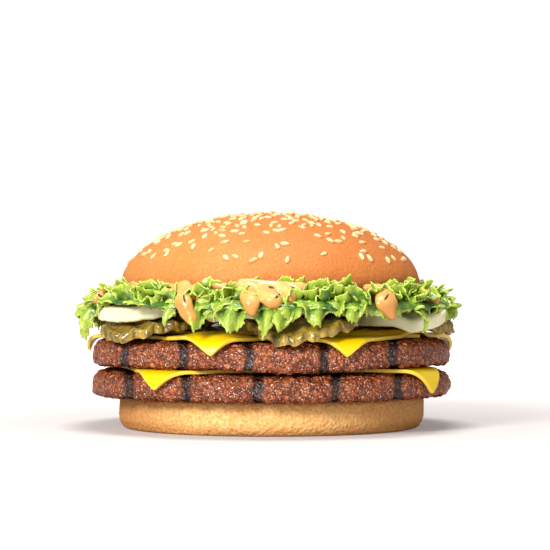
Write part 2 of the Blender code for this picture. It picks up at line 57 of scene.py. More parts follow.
MM = 0.001
WELD = 0.001  # corners closer than this are one corner
WEDGES = 32  # a round form is made of this many alike, a power of 2
GAP = 0.35  # air between pieces that touch, as the solids have it
HEEL_RADIUS = 55.0
HEEL_HEIGHT = 11.7
HEEL_FOOT_RADIUS = 51.0
HEEL_FOOT_ROUND = 4.5
HEEL_LIP = 1.6
HEEL_STEPS = 352
HEEL_SPACING = 0.95
HEEL_PORE = 0.16  # how deep the crumb's pores are


def ramp(low, high, value):
    """0 below low, 1 above high, and a soft rise between them."""
    share = min(1.0, max(0.0, (value - low) / (high - low)))
    return share * share * (3 - 2 * share)


def near(angle, centre, half_width):
    """1 at the centre angle, falling softly to 0 at half_width degrees on each side of it."""
    away = abs((angle - centre + 180) % 360 - 180)
    return 1 - ramp(0, half_width, away)


def angle_of(point):
    return degrees(atan2(point[1], point[0])) % 360


def at(radius, angle, height=0.0):
    """The point at that radius and angle round the burger's axis."""
    turn = radians(angle)
    return Vector((radius * cos(turn), radius * sin(turn), height))


def evenly(points, spacing):
    """The same line through the points, divided into steps of about that length."""
    line = [Vector(point) for point in points]
    gone = [0.0]
    for first, second in zip(line, line[1:]):
        gone.append(gone[-1] + (second - first).length)
    count = max(2, round(gone[-1] / spacing))
    made, span = [], 0
    for step in range(count + 1):
        target = gone[-1] * step / count
        while span < len(gone) - 2 and gone[span + 1] < target:
            span += 1
        share = (target - gone[span]) / max(gone[span + 1] - gone[span], WELD)
        made.append(line[span].lerp(line[span + 1], share))
    return made


def quarter(centre_radius, centre_height, wide, high, start, end, count=9):
    """Points on part of an ellipse, by angle from the horizontal."""
    angles = [radians(start + (end - start) * i / (count - 1)) for i in range(count)]
    return [(centre_radius + wide * cos(a), centre_height + high * sin(a)) for a in angles]


def turned(outline, steps):
    """A closed round form, spun from an outline of (radius, height) between two points on the axis.

    A thin wedge is spun, and then doubled until it has gone round. steps is a multiple of WEDGES.
    """
    form = bmesh.new()
    corners = [form.verts.new((radius, 0, height)) for radius, height in outline]
    for first, second in zip(corners, corners[1:]):
        form.edges.new((first, second))
    bmesh.ops.spin(
        form, geom=form.verts[:] + form.edges[:], cent=(0, 0, 0), axis=(0, 0, 1), angle=tau / WEDGES,
        steps=steps // WEDGES
    )
    gone = 1
    while gone < WEDGES:
        more = bmesh.ops.duplicate(form, geom=form.verts[:] + form.edges[:] + form.faces[:])["geom"]
        corners = [item for item in more if isinstance(item, bmesh.types.BMVert)]
        turn = Matrix.Rotation(tau * gone / WEDGES, 3, "Z")
        bmesh.ops.rotate(form, cent=(0, 0, 0), matrix=turn, verts=corners)
        gone *= 2
    bmesh.ops.remove_doubles(form, verts=form.verts, dist=WELD)
    bmesh.ops.recalc_face_normals(form, faces=form.faces)
    return form


def warp(form, move):
    for corner in form.verts:
        corner.co = move(corner.co)


def emboss(form, relief):
    """Pushes every corner out along the surface by relief(point)."""
    form.normal_update()
    for corner, depth in [(corner, relief(corner.co)) for corner in form.verts]:
        corner.co += corner.normal * depth


def uneven(point, cell, depth, seed):
    """Moves a point in or out from the axis, by a noise whose lumps are about cell across."""
    amount = depth * noise.noise(Vector(point) / cell + Vector((seed, 0, 0)))
    away = Vector((point[0], point[1], 0))
    return Vector(point) + away.normalized() * amount if away.length > WELD else Vector(point)


def layers(form, *names):
    """New values on the form's corners, which its material can read."""
    return [form.verts.layers.float.new(name) for name in names]


def mesh_of(form, name):
    """Makes the form a mesh, and frees it."""
    mesh = bpy.data.meshes.new(name)
    form.to_mesh(mesh)
    form.free()
    return mesh


def shown(name, data):
    made = bpy.data.objects.new(name, data)
    bpy.context.scene.collection.objects.link(made)
    return made


def serve(form, name, nodes, material, smooth_below=60):
    """Finishes a piece: metres, a smooth mesh with its place in it, and the solids that it stands for."""
    bmesh.ops.scale(form, vec=(MM, MM, MM), verts=form.verts)
    mesh = mesh_of(form, name)
    mesh.materials.append(material)
    mesh.shade_smooth()
    mesh.set_sharp_from_angle(angle=radians(smooth_below))
    made = shown(name, mesh)
    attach(made, "root")
    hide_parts(*nodes)
    return made


def tone(code):
    """A colour by its usual six letters and digits, in the linear values that a shader takes."""
    shares = [int(code[i:i + 2], 16) / 255 for i in (0, 2, 4)]
    linear = [s / 12.92 if s <= 0.04045 else ((s + 0.055) / 1.055) ** 2.4 for s in shares]
    return (*linear, 1.0)


def plug(tree, socket, value):
    """Gives a socket a value, or another node's output."""
    if isinstance(value, bpy.types.NodeSocket):
        tree.links.new(value, socket)
    else:
        socket.default_value = value


def wire(tree, kind, inputs=None, **settings):
    """Adds a shader node. Its inputs are given by name or number."""
    made = tree.nodes.new("ShaderNode" + kind)
    for name, value in settings.items():
        setattr(made, name, value)
    for name, value in (inputs or {}).items():
        plug(tree, made.inputs[name], value)
    return made


def worked(tree, operation, first, second):
    return wire(tree, "Math", {0: first, 1: second}, operation=operation).outputs[0]


def mixed(tree, share, first, second):
    """Two colours mixed by a share, of which 1 is all the second."""
    return wire(tree, "Mix", {0: share, 6: first, 7: second}, data_type="RGBA").outputs[2]


def eased(tree, value, low, high):
    """0 where the value is below low, 1 above high, and a soft rise between them."""
    inputs = {"Value": value, "From Min": low, "From Max": high}
    return wire(tree, "MapRange", inputs, interpolation_type="SMOOTHSTEP").outputs[0]


def clouds(tree, place, scale, **inputs):
    """A soft noise with about that many lumps to a metre."""
    return wire(tree, "TexNoise", {"Vector": place, "Scale": scale, **inputs}).outputs["Fac"]


def effect(name, values, outputs):
    """A node group with a Vector and the named values as inputs, as its tree, inputs and outputs."""
    tree = bpy.data.node_groups.new(name, "ShaderNodeTree")
    tree.interface.new_socket("Vector", in_out="INPUT", socket_type="NodeSocketVector")
    for label, value in values.items():
        kind = "NodeSocketColor" if isinstance(value, tuple) else "NodeSocketFloat"
        tree.interface.new_socket(label, in_out="INPUT", socket_type=kind).default_value = value
    for label, kind in outputs.items():
        tree.interface.new_socket(label, in_out="OUTPUT", socket_type="NodeSocket" + kind)
    return tree, tree.nodes.new("NodeGroupInput").outputs, tree.nodes.new("NodeGroupOutput").inputs


def patches_effect():
    """Soft-edged patches of two colours, with about Scale patches to a metre."""
    values = {"Scale": 100.0, "Softness": 0.1, "First": tone("FFFFFF"), "Second": tone("000000")}
    tree, given, out = effect("patches", values, {"Color": "Color", "Mask": "Float"})
    pattern = clouds(tree, given["Vector"], given["Scale"], Detail=4, Roughness=0.6)
    low, high = [worked(tree, side, 0.5, given["Softness"]) for side in ("SUBTRACT", "ADD")]
    mask = eased(tree, pattern, low, high)
    plug(tree, out["Color"], mixed(tree, mask, given["First"], given["Second"]))
    plug(tree, out["Mask"], mask)
    return tree


def specks_effect():
    """Small specks, as a mask. Rarity near 0.5 covers half of the surface, and near 0.8 almost none."""
    tree, given, out = effect("specks", {"Scale": 900.0, "Rarity": 0.62}, {"Mask": "Float"})
    pattern = clouds(tree, given["Vector"], given["Scale"], Detail=2, Roughness=0.5)
    high = worked(tree, "ADD", given["Rarity"], 0.05)
    plug(tree, out["Mask"], eased(tree, pattern, given["Rarity"], high))
    return tree


def grains_effect():
    """The height of packed grains with creases between them, roughened by a finer noise."""
    tree, given, out = effect("grains", {"Scale": 800.0}, {"Height": "Float"})
    inputs = {"Vector": given["Vector"], "Scale": given["Scale"], "Smoothness": 0.4}
    cells = wire(tree, "TexVoronoi", inputs, feature="SMOOTH_F1").outputs["Distance"]
    fine = worked(tree, "MULTIPLY", clouds(tree, given["Vector"], given["Scale"], Detail=5), 0.5)
    plug(tree, out["Height"], worked(tree, "ADD", worked(tree, "SUBTRACT", 1.0, cells), fine))
    return tree


PATCHES, SPECKS, GRAINS = patches_effect(), specks_effect(), grains_effect()


class Skin:
    """A material in the making. Its colour is built up from the base, one thing laid over another."""

    def __init__(self, name, **sockets):
        self.made = bpy.data.materials.new(name)
        self.made.use_nodes = True
        self.tree = self.made.node_tree
        self.shader = self.tree.nodes["Principled BSDF"].inputs
        self.place = self.tree.nodes.new("ShaderNodeTexCoord").outputs["Object"]
        self.colour = None
        for label, value in sockets.items():
            self.shader[label.replace("_", " ")].default_value = value

    def placed(self, group, **inputs):
        """Places an effect with its own values."""
        return wire(self.tree, "Group", {"Vector": self.place, **inputs}, node_tree=group).outputs

    def two_tone(self, scale, softness, first, second, **inputs):
        inputs |= {"Scale": scale, "Softness": softness, "First": tone(first), "Second": tone(second)}
        return self.placed(PATCHES, **inputs)["Color"]

    def patches(self, scale, softness):
        return self.placed(PATCHES, Scale=scale, Softness=softness)["Mask"]

    def specks(self, scale, rarity):
        return self.placed(SPECKS, Scale=scale, Rarity=rarity)["Mask"]

    def drawn_out(self, share):
        """The place for a pattern that is stretched upwards."""
        return wire(self.tree, "Mapping", {"Vector": self.place, "Scale": (1.0, 1.0, share)}).outputs[0]

    def past(self, axis, low, high):
        """0 before low and 1 past high along an axis."""
        value = wire(self.tree, "SeparateXYZ", {0: self.place}).outputs[axis]
        return eased(self.tree, value, low * MM, high * MM)

    def painted(self, name, low=None, high=1.0):
        """A value stored on the piece's own corners, eased from low to high if low is given."""
        value = wire(self.tree, "Attribute", attribute_name=name).outputs["Fac"]
        return value if low is None else eased(self.tree, value, low, high)

    def over(self, mask, code, amount=1.0):
        """Lays another colour over the skin's, as much as amount where the mask is 1."""
        self.colour = mixed(self.tree, worked(self.tree, "MULTIPLY", mask, amount), self.colour, tone(code))

    def relief(self, height, distance):
        """Gives the skin a relief of that many millimetres."""
        inputs = {"Height": height, "Distance": distance * MM, "Strength": 1.0}
        plug(self.tree, self.shader["Normal"], wire(self.tree, "Bump", inputs).outputs[0])

    def grains(self, scale, distance):
        self.relief(self.placed(GRAINS, Scale=scale)["Height"], distance)

    def finished(self):
        plug(self.tree, self.shader["Base Color"], self.colour)
        return self.made


def toasted_heel():
    skin = Skin("toasted_heel", Roughness=0.85, Specular_IOR_Level=0.25)
    skin.colour = skin.two_tone(950.0, 0.16, "FFDA98", "F0AE60")
    skin.over(skin.patches(75.0, 0.3), "E6A050", 0.4)
    skin.over(skin.past("Z", 5.0, 0.6), "B87436", 0.45)
    # painted shade: the crumb darkens towards both sides, so it is brightest in the middle front
    skin.over(skin.past("X", 5, 50), "A5642F", 0.55)
    skin.over(skin.past("X", -22, -52), "B8763C", 0.75)
    skin.grains(820.0, 0.45)
    return skin.finished()


def make_heel():
    edge = HEEL_RADIUS - HEEL_FOOT_RADIUS
    outline = [(0, HEEL_HEIGHT), (HEEL_RADIUS - 2 * HEEL_LIP, HEEL_HEIGHT)]
    outline += quarter(HEEL_RADIUS - HEEL_LIP, HEEL_HEIGHT - HEEL_LIP, HEEL_LIP, HEEL_LIP, 90, 0)
    outline += quarter(HEEL_FOOT_RADIUS, HEEL_FOOT_ROUND, edge, HEEL_FOOT_ROUND, 0, -90)
    outline += [(0, 0)]
    form = turned(evenly(outline, HEEL_SPACING), HEEL_STEPS)
    warp(form, lambda point: uneven(point, 30, 1.2, 3) if point.z > 1 else point)

    def pores(point):
        if point.z < 0.3:
            return 0.0
        return HEEL_PORE * (noise.noise(point / 1.5) + 0.8 * noise.noise(point / 4.0))

    emboss(form, pores)
    serve(form, "heel", ["bun_heel"], toasted_heel())


make_heel()

# Two patties of coarse minced beef, pressed into discs and grilled over bars. The rim is lumpy and
# sags where nothing holds it, pale fat specks with painted glints lie between the grains, the creases
# between the grains carry painted shade, and the bars left charred stripes.

PATTY_RADIUS = 64.0
PATTY_HALF = 4.5  # half of a patty's thickness
PATTY_BULGE = 6.0  # how far the rim swells out past the flat faces
PATTY_SQUARE = 2.9  # 2 makes the rim round, and more makes it squarer
PATTY_SAG = 0.6  # how far the rim hangs down
PATTY_DROOP = 1.65  # and how much more where no slice below holds it up
PATTY_UNEVEN = 0.8
PATTY_STEPS = 608
PATTY_SPACING = 0.62
CHEESE_SIDE = 89.0
CHEESE_THICK = 1.3
LOWER_HEIGHT = HEEL_HEIGHT + GAP + PATTY_HALF
UPPER_HEIGHT = LOWER_HEIGHT + 2 * PATTY_HALF + CHEESE_THICK + 2 * GAP
# the lower slice has melted out of square: its corners' radius and direction as it lies flat
LOWER_SLICE = ((71.0, 234), (73.0, 326.5), (58, 45), (68, 156))
# where the bars lay across each patty, and half of a stripe's width
LOWER_BARS = (-49.0, -28.4, -4.3, 21.8, 43.4)
UPPER_BARS = (-50.2, -29.5, -7.3, 17.8, 41.9)
BAR_HALF = 1.7


def rim(turn, out=0.0):
    """(radius, height) on a patty's rim, by angle from its waist, moved out of the skin by out."""
    flat = PATTY_RADIUS - PATTY_BULGE
    side = cos(radians(turn)) ** (2 / PATTY_SQUARE)
    up = sin(radians(turn)) ** (2 / PATTY_SQUARE)
    slope = Vector((side ** (PATTY_SQUARE - 1) / PATTY_BULGE, up ** (PATTY_SQUARE - 1) / PATTY_HALF))
    slope.normalize()
    return flat + PATTY_BULGE * side + slope.x * out, PATTY_HALF * up + slope.y * out


def rim_sag(radius):
    """How far down a patty's rim hangs, and whatever lies on it too."""
    return PATTY_SAG * ramp(54, PATTY_RADIUS, radius)


def inside_slice(corners, point):
    """How far a point is inside a slice's nearest side, and below 0 outside it."""
    depths = []
    for first, second in zip(corners, corners[1:] + corners[:1]):
        side = (second - first).normalized()
        away = Vector(point) - first
        depths.append(side.x * away.y - side.y * away.x)
    return min(depths)


def grilled_beef():
    skin = Skin("grilled_beef", Roughness=0.38, Coat_Roughness=0.22)
    tree = skin.tree
    skin.colour = skin.two_tone(950.0, 0.2, "D6783E", "86381A")
    skin.over(skin.patches(85.0, 0.2), "74290F", 0.4)
    # painted shade in the creases between the grains
    skin.over(skin.painted("crease"), "45140A")
    # the pale specks are fat, and partly painted glints
    fat, side = skin.specks(1800.0, 0.61), skin.painted("side")
    skin.over(fat, "F6D8BC", 0.75)
    # the char is near black, with painted bluish glints on it
    glints = worked(tree, "MULTIPLY", skin.specks(1200.0, 0.62), 0.6)
    soot = mixed(tree, glints, tone("140E0D"), tone("9CA2B4"))
    skin.colour = mixed(tree, skin.painted("char"), skin.colour, soot)
    plug(tree, skin.shader["Specular IOR Level"], worked(tree, "MULTIPLY", side, 0.45))
    plug(tree, skin.shader["Coat Weight"], worked(tree, "MULTIPLY", fat, side))
    skin.grains(1250.0, 0.55)
    return skin.finished()


def make_patty(name, node, height, held_by, seed, bars, material):
    """held_by is the corners of the slice below, if there is one, which holds the rim up."""
    flat = PATTY_RADIUS - PATTY_BULGE
    upper = [rim(turn) for turn in (89.9, *range(88, 0, -2), 0)]
    outline = [(0, PATTY_HALF), (flat * 0.5, PATTY_HALF)]
    outline += evenly([(flat * 0.72, PATTY_HALF)] + upper, PATTY_SPACING)
    outline += [(radius, -up) for radius, up in reversed(outline[:-1])]
    form = turned(outline, PATTY_STEPS)
    crease, char, side = layers(form, "crease", "char", "side")

    def lumpy(point):
        radius = hypot(point.x, point.y)
        moved = uneven(point, 9, PATTY_UNEVEN * ramp(40, PATTY_RADIUS, radius), seed)
        moved.z += height - rim_sag(radius)
        if held_by:
            free = ramp(5, 14, -inside_slice(held_by, point.xy))
            free *= ramp(50, PATTY_RADIUS, radius)
            moved.z -= PATTY_DROOP * free * (PATTY_HALF - point.z) / (2 * PATTY_HALF)
        return moved

    warp(form, lumpy)
    form.normal_update()
    for corner in form.verts:
        spot = corner.co + Vector((seed, 0, 0))
        bent = corner.co.x + 0.9 * noise.noise(spot / 5) + 0.5 * noise.noise(spot / 1.6)
        stripe = max(1 - ramp(BAR_HALF - 0.5, BAR_HALF + 0.6, abs(bent - bar)) for bar in bars)
        first, second = noise.voronoi(spot / 2.1)[0][:2]
        grain = ramp(0, 0.42, second - first)
        lumps = 0.7 * noise.noise(spot / 3.6) + 0.25 * noise.noise(spot / 1.3)
        # painted shade in the creases between the grains, less on the stripes
        corner[crease] = 0.85 * (1 - grain) * (1 - 0.5 * stripe)
        corner[char] = min(1.0, stripe * (0.92 + 0.35 * noise.noise(spot / 1.3)))
        corner[side] = 1 - ramp(0.5, 0.9, abs(corner.normal.z))
        edge = ramp(40, 50, hypot(corner.co.x, corner.co.y))
        corner.co += corner.normal * edge * (lumps + 0.32 * (grain - 0.7) - 0.45 * stripe)
    serve(form, name, [node], material)


BEEF = grilled_beef()
lower_corners = [at(radius, angle).xy for radius, angle in LOWER_SLICE]
make_patty("lower_patty", "patty_lower", LOWER_HEIGHT, None, 21, LOWER_BARS, BEEF)
make_patty("upper_patty", "patty_upper", UPPER_HEIGHT, lower_corners, 47, UPPER_BARS, BEEF)

# Three square slices of soft yellow cheese, one on the lower patty and two on the upper. The heat of
# the beef has softened them, and their corners fold down over the rim and hang there.

CHEESE_CLEAR = 1.3  # how far a slice stands off the rim
CHEESE_CELLS = 64
CHEESE_ROUND = 0.3
# how far the middle of each upper slice is from the axis, and the direction of its first corner
LEFT_SLICE = ((-8.4, -5.6), 258.4)
RIGHT_SLICE = ((8.9, -4.9), 286.6)
# where the left slice has puffed up between two pickles: the middle, how far that reaches and how high
LEFT_PUFF = ((-20.0, -50.0), 17.0, 1.9)


def rim_path(height):
    """The way of a slice over a patty's rim, as (distance along it, radius, height) from the axis out."""
    lift = CHEESE_THICK / 2 + GAP
    points = [(PATTY_RADIUS - PATTY_BULGE - 8, PATTY_HALF + lift)]
    points += [rim(turn, lift + CHEESE_CLEAR * cos(radians(turn))) for turn in range(89, 0, -8)]
    points.append((points[-1][0] + 0.3, points[-1][1] - 20))
    way = [(0.0, 0.0, height + PATTY_HALF + lift)]
    for radius, up in points:
        gone, last_radius, last_up = way[-1]
        up += height
        way.append((gone + hypot(radius - last_radius, up - last_up), radius, up))
    return way


def along(way, distance):
    """(radius, height) at a distance along a way."""
    for (gone, radius, up), (next_gone, next_radius, next_up) in zip(way, way[1:]):
        if distance <= next_gone:
            share = (distance - gone) / max(next_gone - gone, WELD)
            return radius + (next_radius - radius) * share, up + (next_up - up) * share
    return way[-1][1:]


def slice_corners(shift, turn):
    """The slice's corners as it lies flat. turn is the direction of its first corner from its middle."""
    reach = CHEESE_SIDE / sqrt(2)
    return [Vector(shift) + at(reach, turn + 90 * k).xy for k in range(4)]


def soft_cheese():
    skin = Skin(
        "soft_cheese", Roughness=0.34, Subsurface_Weight=0.12, Subsurface_Scale=1.0 * MM,
        Subsurface_Radius=(1.0, 0.6, 0.1), Coat_Weight=0.15
    )
    skin.colour = skin.two_tone(45.0, 0.3, "FFDC00", "FFD000")
    # painted highlight: the slice is paler along its edge
    skin.over(skin.painted("edge", 0.55, 0.95), "FFD540")
    skin.relief(clouds(skin.tree, skin.place, 260.0, Detail=3), 0.12)
    return skin.finished()


def smoothed(form, corners, rounds):
    for _ in range(rounds):
        bmesh.ops.smooth_vert(
            form, verts=corners, factor=0.5, use_axis_x=True, use_axis_y=True, use_axis_z=True
        )


def thicken(sheet, thick):
    """Gives a sheet its thickness, half to each side."""
    sheet.modifiers.new("wall", "SOLIDIFY").thickness = thick * MM
    sheet.modifiers["wall"].offset = 0


def make_cheese(name, node, height, corners, material, over=None, puff=None):
    """A slice draped on the patty whose middle is at that height.

    over is the corners of a slice below, which it steps up on. puff is where it stands up off the patty,
    as the middle of that place, its reach and its height.
    """
    way = rim_path(height)
    form = bmesh.new()
    bmesh.ops.create_grid(form, x_segments=CHEESE_CELLS, y_segments=CHEESE_CELLS, size=1)
    # the slice's edge, which its material paints paler as a painted highlight
    edge = layers(form, "edge")[0]
    for corner in form.verts:
        across, up = corner.co.x, corner.co.y
        corner[edge] = ramp(0.96, 1.0, max(abs(across), abs(up)))
        # the slice's corners are a little round
        blunt = 1 - 0.012 * (abs(across) * abs(up)) ** 14
        across, up = (across * blunt + 1) / 2, (up * blunt + 1) / 2
        flat = corners[0].lerp(corners[1], across).lerp(corners[3].lerp(corners[2], across), up)
        # each corner folds down along a straight line, square to the way that it points
        pointing = corners[(0, 1, 3, 2)[(across > 0.5) + 2 * (up > 0.5)]].normalized()
        out = flat.dot(pointing)
        radius, z = along(way, out)
        flap = flat + pointing * (radius - out)
        z -= rim_sag(min(flap.length, PATTY_RADIUS))
        if over:
            z += (CHEESE_THICK + GAP) * ramp(-7, -1, inside_slice(over, flat))
        if puff:
            middle, reach, high = puff
            z += high * (1 - ramp(0, reach, (flap - Vector(middle)).length))
        corner.co = Vector((flap.x, flap.y, z))
    smoothed(form, [corner for corner in form.verts if not corner.is_boundary], 3)
    cheese = serve(form, name, [node], material)
    thicken(cheese, CHEESE_THICK)
    softened = cheese.modifiers.new("soft_edges", "BEVEL")
    softened.width = CHEESE_ROUND * MM
    softened.segments = 3
    softened.limit_method = "ANGLE"
    softened.angle_limit = radians(60)


CHEESE = soft_cheese()
left_corners = slice_corners(*LEFT_SLICE)
make_cheese("lower_cheese", "cheese_lower", LOWER_HEIGHT, lower_corners, CHEESE)
make_cheese("left_cheese", "cheese_upper_left", UPPER_HEIGHT, left_corners, CHEESE, puff=LEFT_PUFF)
make_cheese(
    "right_cheese", "cheese_upper_right", UPPER_HEIGHT, slice_corners(*RIGHT_SLICE), CHEESE, over=left_corners
)

# Six crinkle-cut slices of pickled gherkin lie on the upper patty and its cheese. The blade left waves
# on both faces, and the ribbed rind round them is darker than the flesh and wet with brine.

# the grid of heights that a sheet is laid on, and the height where nothing lies
FIELD_REACH, FIELD_STEP, NOTHING = 80.0, 1.6, -500.0
FIELD_ROUNDS = 36  # how often the heights spread to their neighbours
PICKLE_WAVE = 6.0
PICKLE_CRINKLE = 0.5
PICKLE_STEPS = 160
PICKLE_SPACING = 0.75
PICKLE_RIB = 4.6  # from one rib of the rind to the next
PICKLE_ROUND = 0.7
# each pickle: radius, thickness, middle, the turn of its crinkles, and the steepest that it bends
PICKLES = (
    (19.0, 3.4, -39.5, -30.0, 20, 0.36),
    (19.5, 3.4, 10.0, -47.5, 4, 0.6),
    (14.0, 3.4, 51.0, -9.0, 76, 0.4),
    (18.0, 3.4, 33.0, 30.0, 120, 0.36),
    (19.0, 3.4, -8.0, 43.0, 10, 0.36),
    (18.0, 3.4, -44.0, 14.0, 110, 0.36),
)


def tree_of(nodes):
    """One search tree of all the faces of some of the frame's nodes, in millimetres."""
    points, faces = [], []
    for node in nodes:
        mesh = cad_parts[node].data
        start = len(points)
        points += [corner.co / MM for corner in mesh.vertices]
        faces += [[start + index for index in face.vertices] for face in mesh.polygons]
    return BVHTree.FromPolygons(points, faces)


def spread_out(field, slope):
    """Each place takes the highest of its neighbours, less what a sheet of that slope drops on the way."""
    risen = field
    for across in (-1, 0, 1):
        for up in (-1, 0, 1):
            fall = slope * FIELD_STEP * hypot(across, up)
            risen = numpy.maximum(risen, numpy.roll(field, (across, up), (0, 1)) - fall)
    return risen


def resting(nodes, middle, radius, slope):
    """A function of (x, y): the height of a round sheet on some nodes, no steeper than slope."""
    tree = tree_of(nodes)
    places = numpy.arange(-FIELD_REACH, FIELD_REACH + FIELD_STEP / 2, FIELD_STEP)
    x, y = numpy.meshgrid(places, places, indexing="ij")
    near_by = numpy.hypot(x - middle[0], y - middle[1]) <= radius + 3 * FIELD_STEP
    field = numpy.full(x.shape, NOTHING)
    for row, column in zip(*numpy.nonzero(near_by)):
        hit = tree.ray_cast(Vector((x[row, column], y[row, column], -NOTHING)), Vector((0, 0, -1)))[0]
        if hit:
            field[row, column] = hit.z
    field = spread_out(field, 0)
    field[numpy.hypot(x - middle[0], y - middle[1]) > radius + FIELD_STEP] = NOTHING
    for _ in range(FIELD_ROUNDS):
        field = spread_out(field, slope)

    def height(x, y):
        across, up = (x + FIELD_REACH) / FIELD_STEP, (y + FIELD_REACH) / FIELD_STEP
        i, j = int(across), int(up)
        s, t = across - i, up - j
        near_side = field[i, j] * (1 - s) + field[i + 1, j] * s
        far_side = field[i, j + 1] * (1 - s) + field[i + 1, j + 1] * s
        return near_side * (1 - t) + far_side * t

    return height


def lay(form, middle, radius, turn, nodes, slope, stands_for):
    """Bends a flat round form over the nodes below it, as high as the solid that it stands for."""
    rest = resting(nodes, middle, radius, slope)
    spin = Matrix.Rotation(radians(turn), 3, "Z")
    lowest = inf
    for corner in form.verts:
        moved = spin @ corner.co + Vector((middle[0], middle[1], 0))
        moved.z += rest(moved.x, moved.y)
        corner.co = moved
        lowest = min(lowest, moved.z)
    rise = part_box(stands_for)[0].z / MM - lowest
    bmesh.ops.translate(form, vec=(0, 0, rise), verts=form.verts)


def brined_gherkin():
    skin = Skin(
        "brined_gherkin", Roughness=0.24, Coat_Weight=0.5, Coat_Roughness=0.12,
        Subsurface_Weight=0.15, Subsurface_Scale=1.5 * MM
    )
    skin.colour = skin.two_tone(420.0, 0.16, "C8A83E", "6E5614", Vector=skin.drawn_out(0.22))
    skin.over(skin.patches(130.0, 0.12), "5A450E", 0.5)
    flesh = skin.two_tone(240.0, 0.2, "A88C34", "80681C")
    skin.colour = mixed(skin.tree, skin.painted("rind"), flesh, skin.colour)
    # painted glints: pale specks on the wet skin
    skin.over(skin.specks(1000.0, 0.66), "E4DFB4", 0.5)
    skin.grains(600.0, 0.3)
    return skin.finished()


def make_pickle(index, radius, thick, middle, turn, slope, below, material):
    corner = PICKLE_ROUND
    outline = [(0, thick)] + quarter(radius - corner, thick - corner, corner, corner, 90, 0)
    outline += quarter(radius - corner, corner, corner, corner, 0, -90) + [(0, 0)]
    form = turned(evenly(outline, PICKLE_SPACING), PICKLE_STEPS)
    rind = layers(form, "rind")[0]
    for vertex in form.verts:
        point = vertex.co
        reach = hypot(point.x, point.y)
        vertex[rind] = ramp(radius - 1.6, radius - 0.5, reach)
        side = ramp(radius - 2.5, radius - 0.3, reach)
        about = radians(angle_of(point)) * radius
        pace = pi * about / PICKLE_RIB + 2.2 * noise.noise(Vector((about / 7, index, 0)))
        ribs = 1.15 * abs(sin(pace)) ** 0.7 - 0.95
        lumps = 0.8 * noise.noise(Vector((about / 1.7, point.z / 1.4, index * 7)))
        out = 1 + side * (ribs + lumps) / radius
        wave = PICKLE_CRINKLE * (1 + cos(tau * point.x / PICKLE_WAVE))
        vertex.co = Vector((point.x * out, point.y * out, point.z + wave))
    node = f"pickle_{index}"
    lay(form, middle, radius, turn, below, slope, node)
    serve(form, f"gherkin_{index}", [node], material)
    return node


GHERKIN = brined_gherkin()
stack = ["patty_upper", "cheese_upper_left", "cheese_upper_right"]
stack += [
    make_pickle(index, radius, thick, (x, y), turn, slope, stack, GHERKIN)
    for index, (radius, thick, x, y, turn, slope) in enumerate(PICKLES, 1)
]

# Five thick slices of raw white onion. Each is a stack of rings as wide as the bulb was there, white
# and wet, a little clear where a layer is thin, and the front left one is half a slice.

ONION_LAYER = 3.3  # from one ring to the next
ONION_STEPS = 160
ONION_SPACING = 0.62
ONION_HALF_CUTS = (90, 34, 8)
# each onion slice: radius, thickness, middle, the steepest that it bends, and the direction that the
# straight cut of a half slice faces
ONIONS = (
    (21.0, 5.3, -39.5, -23.5, 0.3, 20),
    (24.0, 3.8, -1.0, -38.0, 0.3, None),
    (17.6, 4.7, 44.0, -22.7, 0.46, None),
    (20.0, 4.1, 22.0, 34.0, 0.3, None),
    (21.0, 4.1, -30.0, 27.0, 0.3, None),
)


def raw_onion():
    skin = Skin(
        "raw_onion", Roughness=0.32, Coat_Weight=0.1, Coat_Roughness=0.15,
        Subsurface_Weight=0.4, Subsurface_Scale=2.5 * MM
    )
    streaks = skin.drawn_out(0.16)
    skin.colour = skin.two_tone(300.0, 0.25, "FFFDD8", "FCF4C0", Vector=streaks)
    skin.over(skin.patches(42.0, 0.12), "D2D4A6", 0.15)
    skin.over(skin.painted("seam", 0.5), "B9C08A", 0.35)
    skin.relief(clouds(skin.tree, streaks, 700.0), 0.2)
    return skin.finished()


def slab(cuts):
    """A closed block from -0.5 to 0.5, each side divided by the cuts along X, Y and Z."""
    form = bmesh.new()
    bmesh.ops.create_cube(form, size=1)
    for axis, count in enumerate(cuts):
        across = [e for e in form.edges if abs(e.verts[0].co[axis] - e.verts[1].co[axis]) > 0.5]
        bmesh.ops.subdivide_edges(form, edges=across, cuts=count, use_grid_fill=True)
    return form


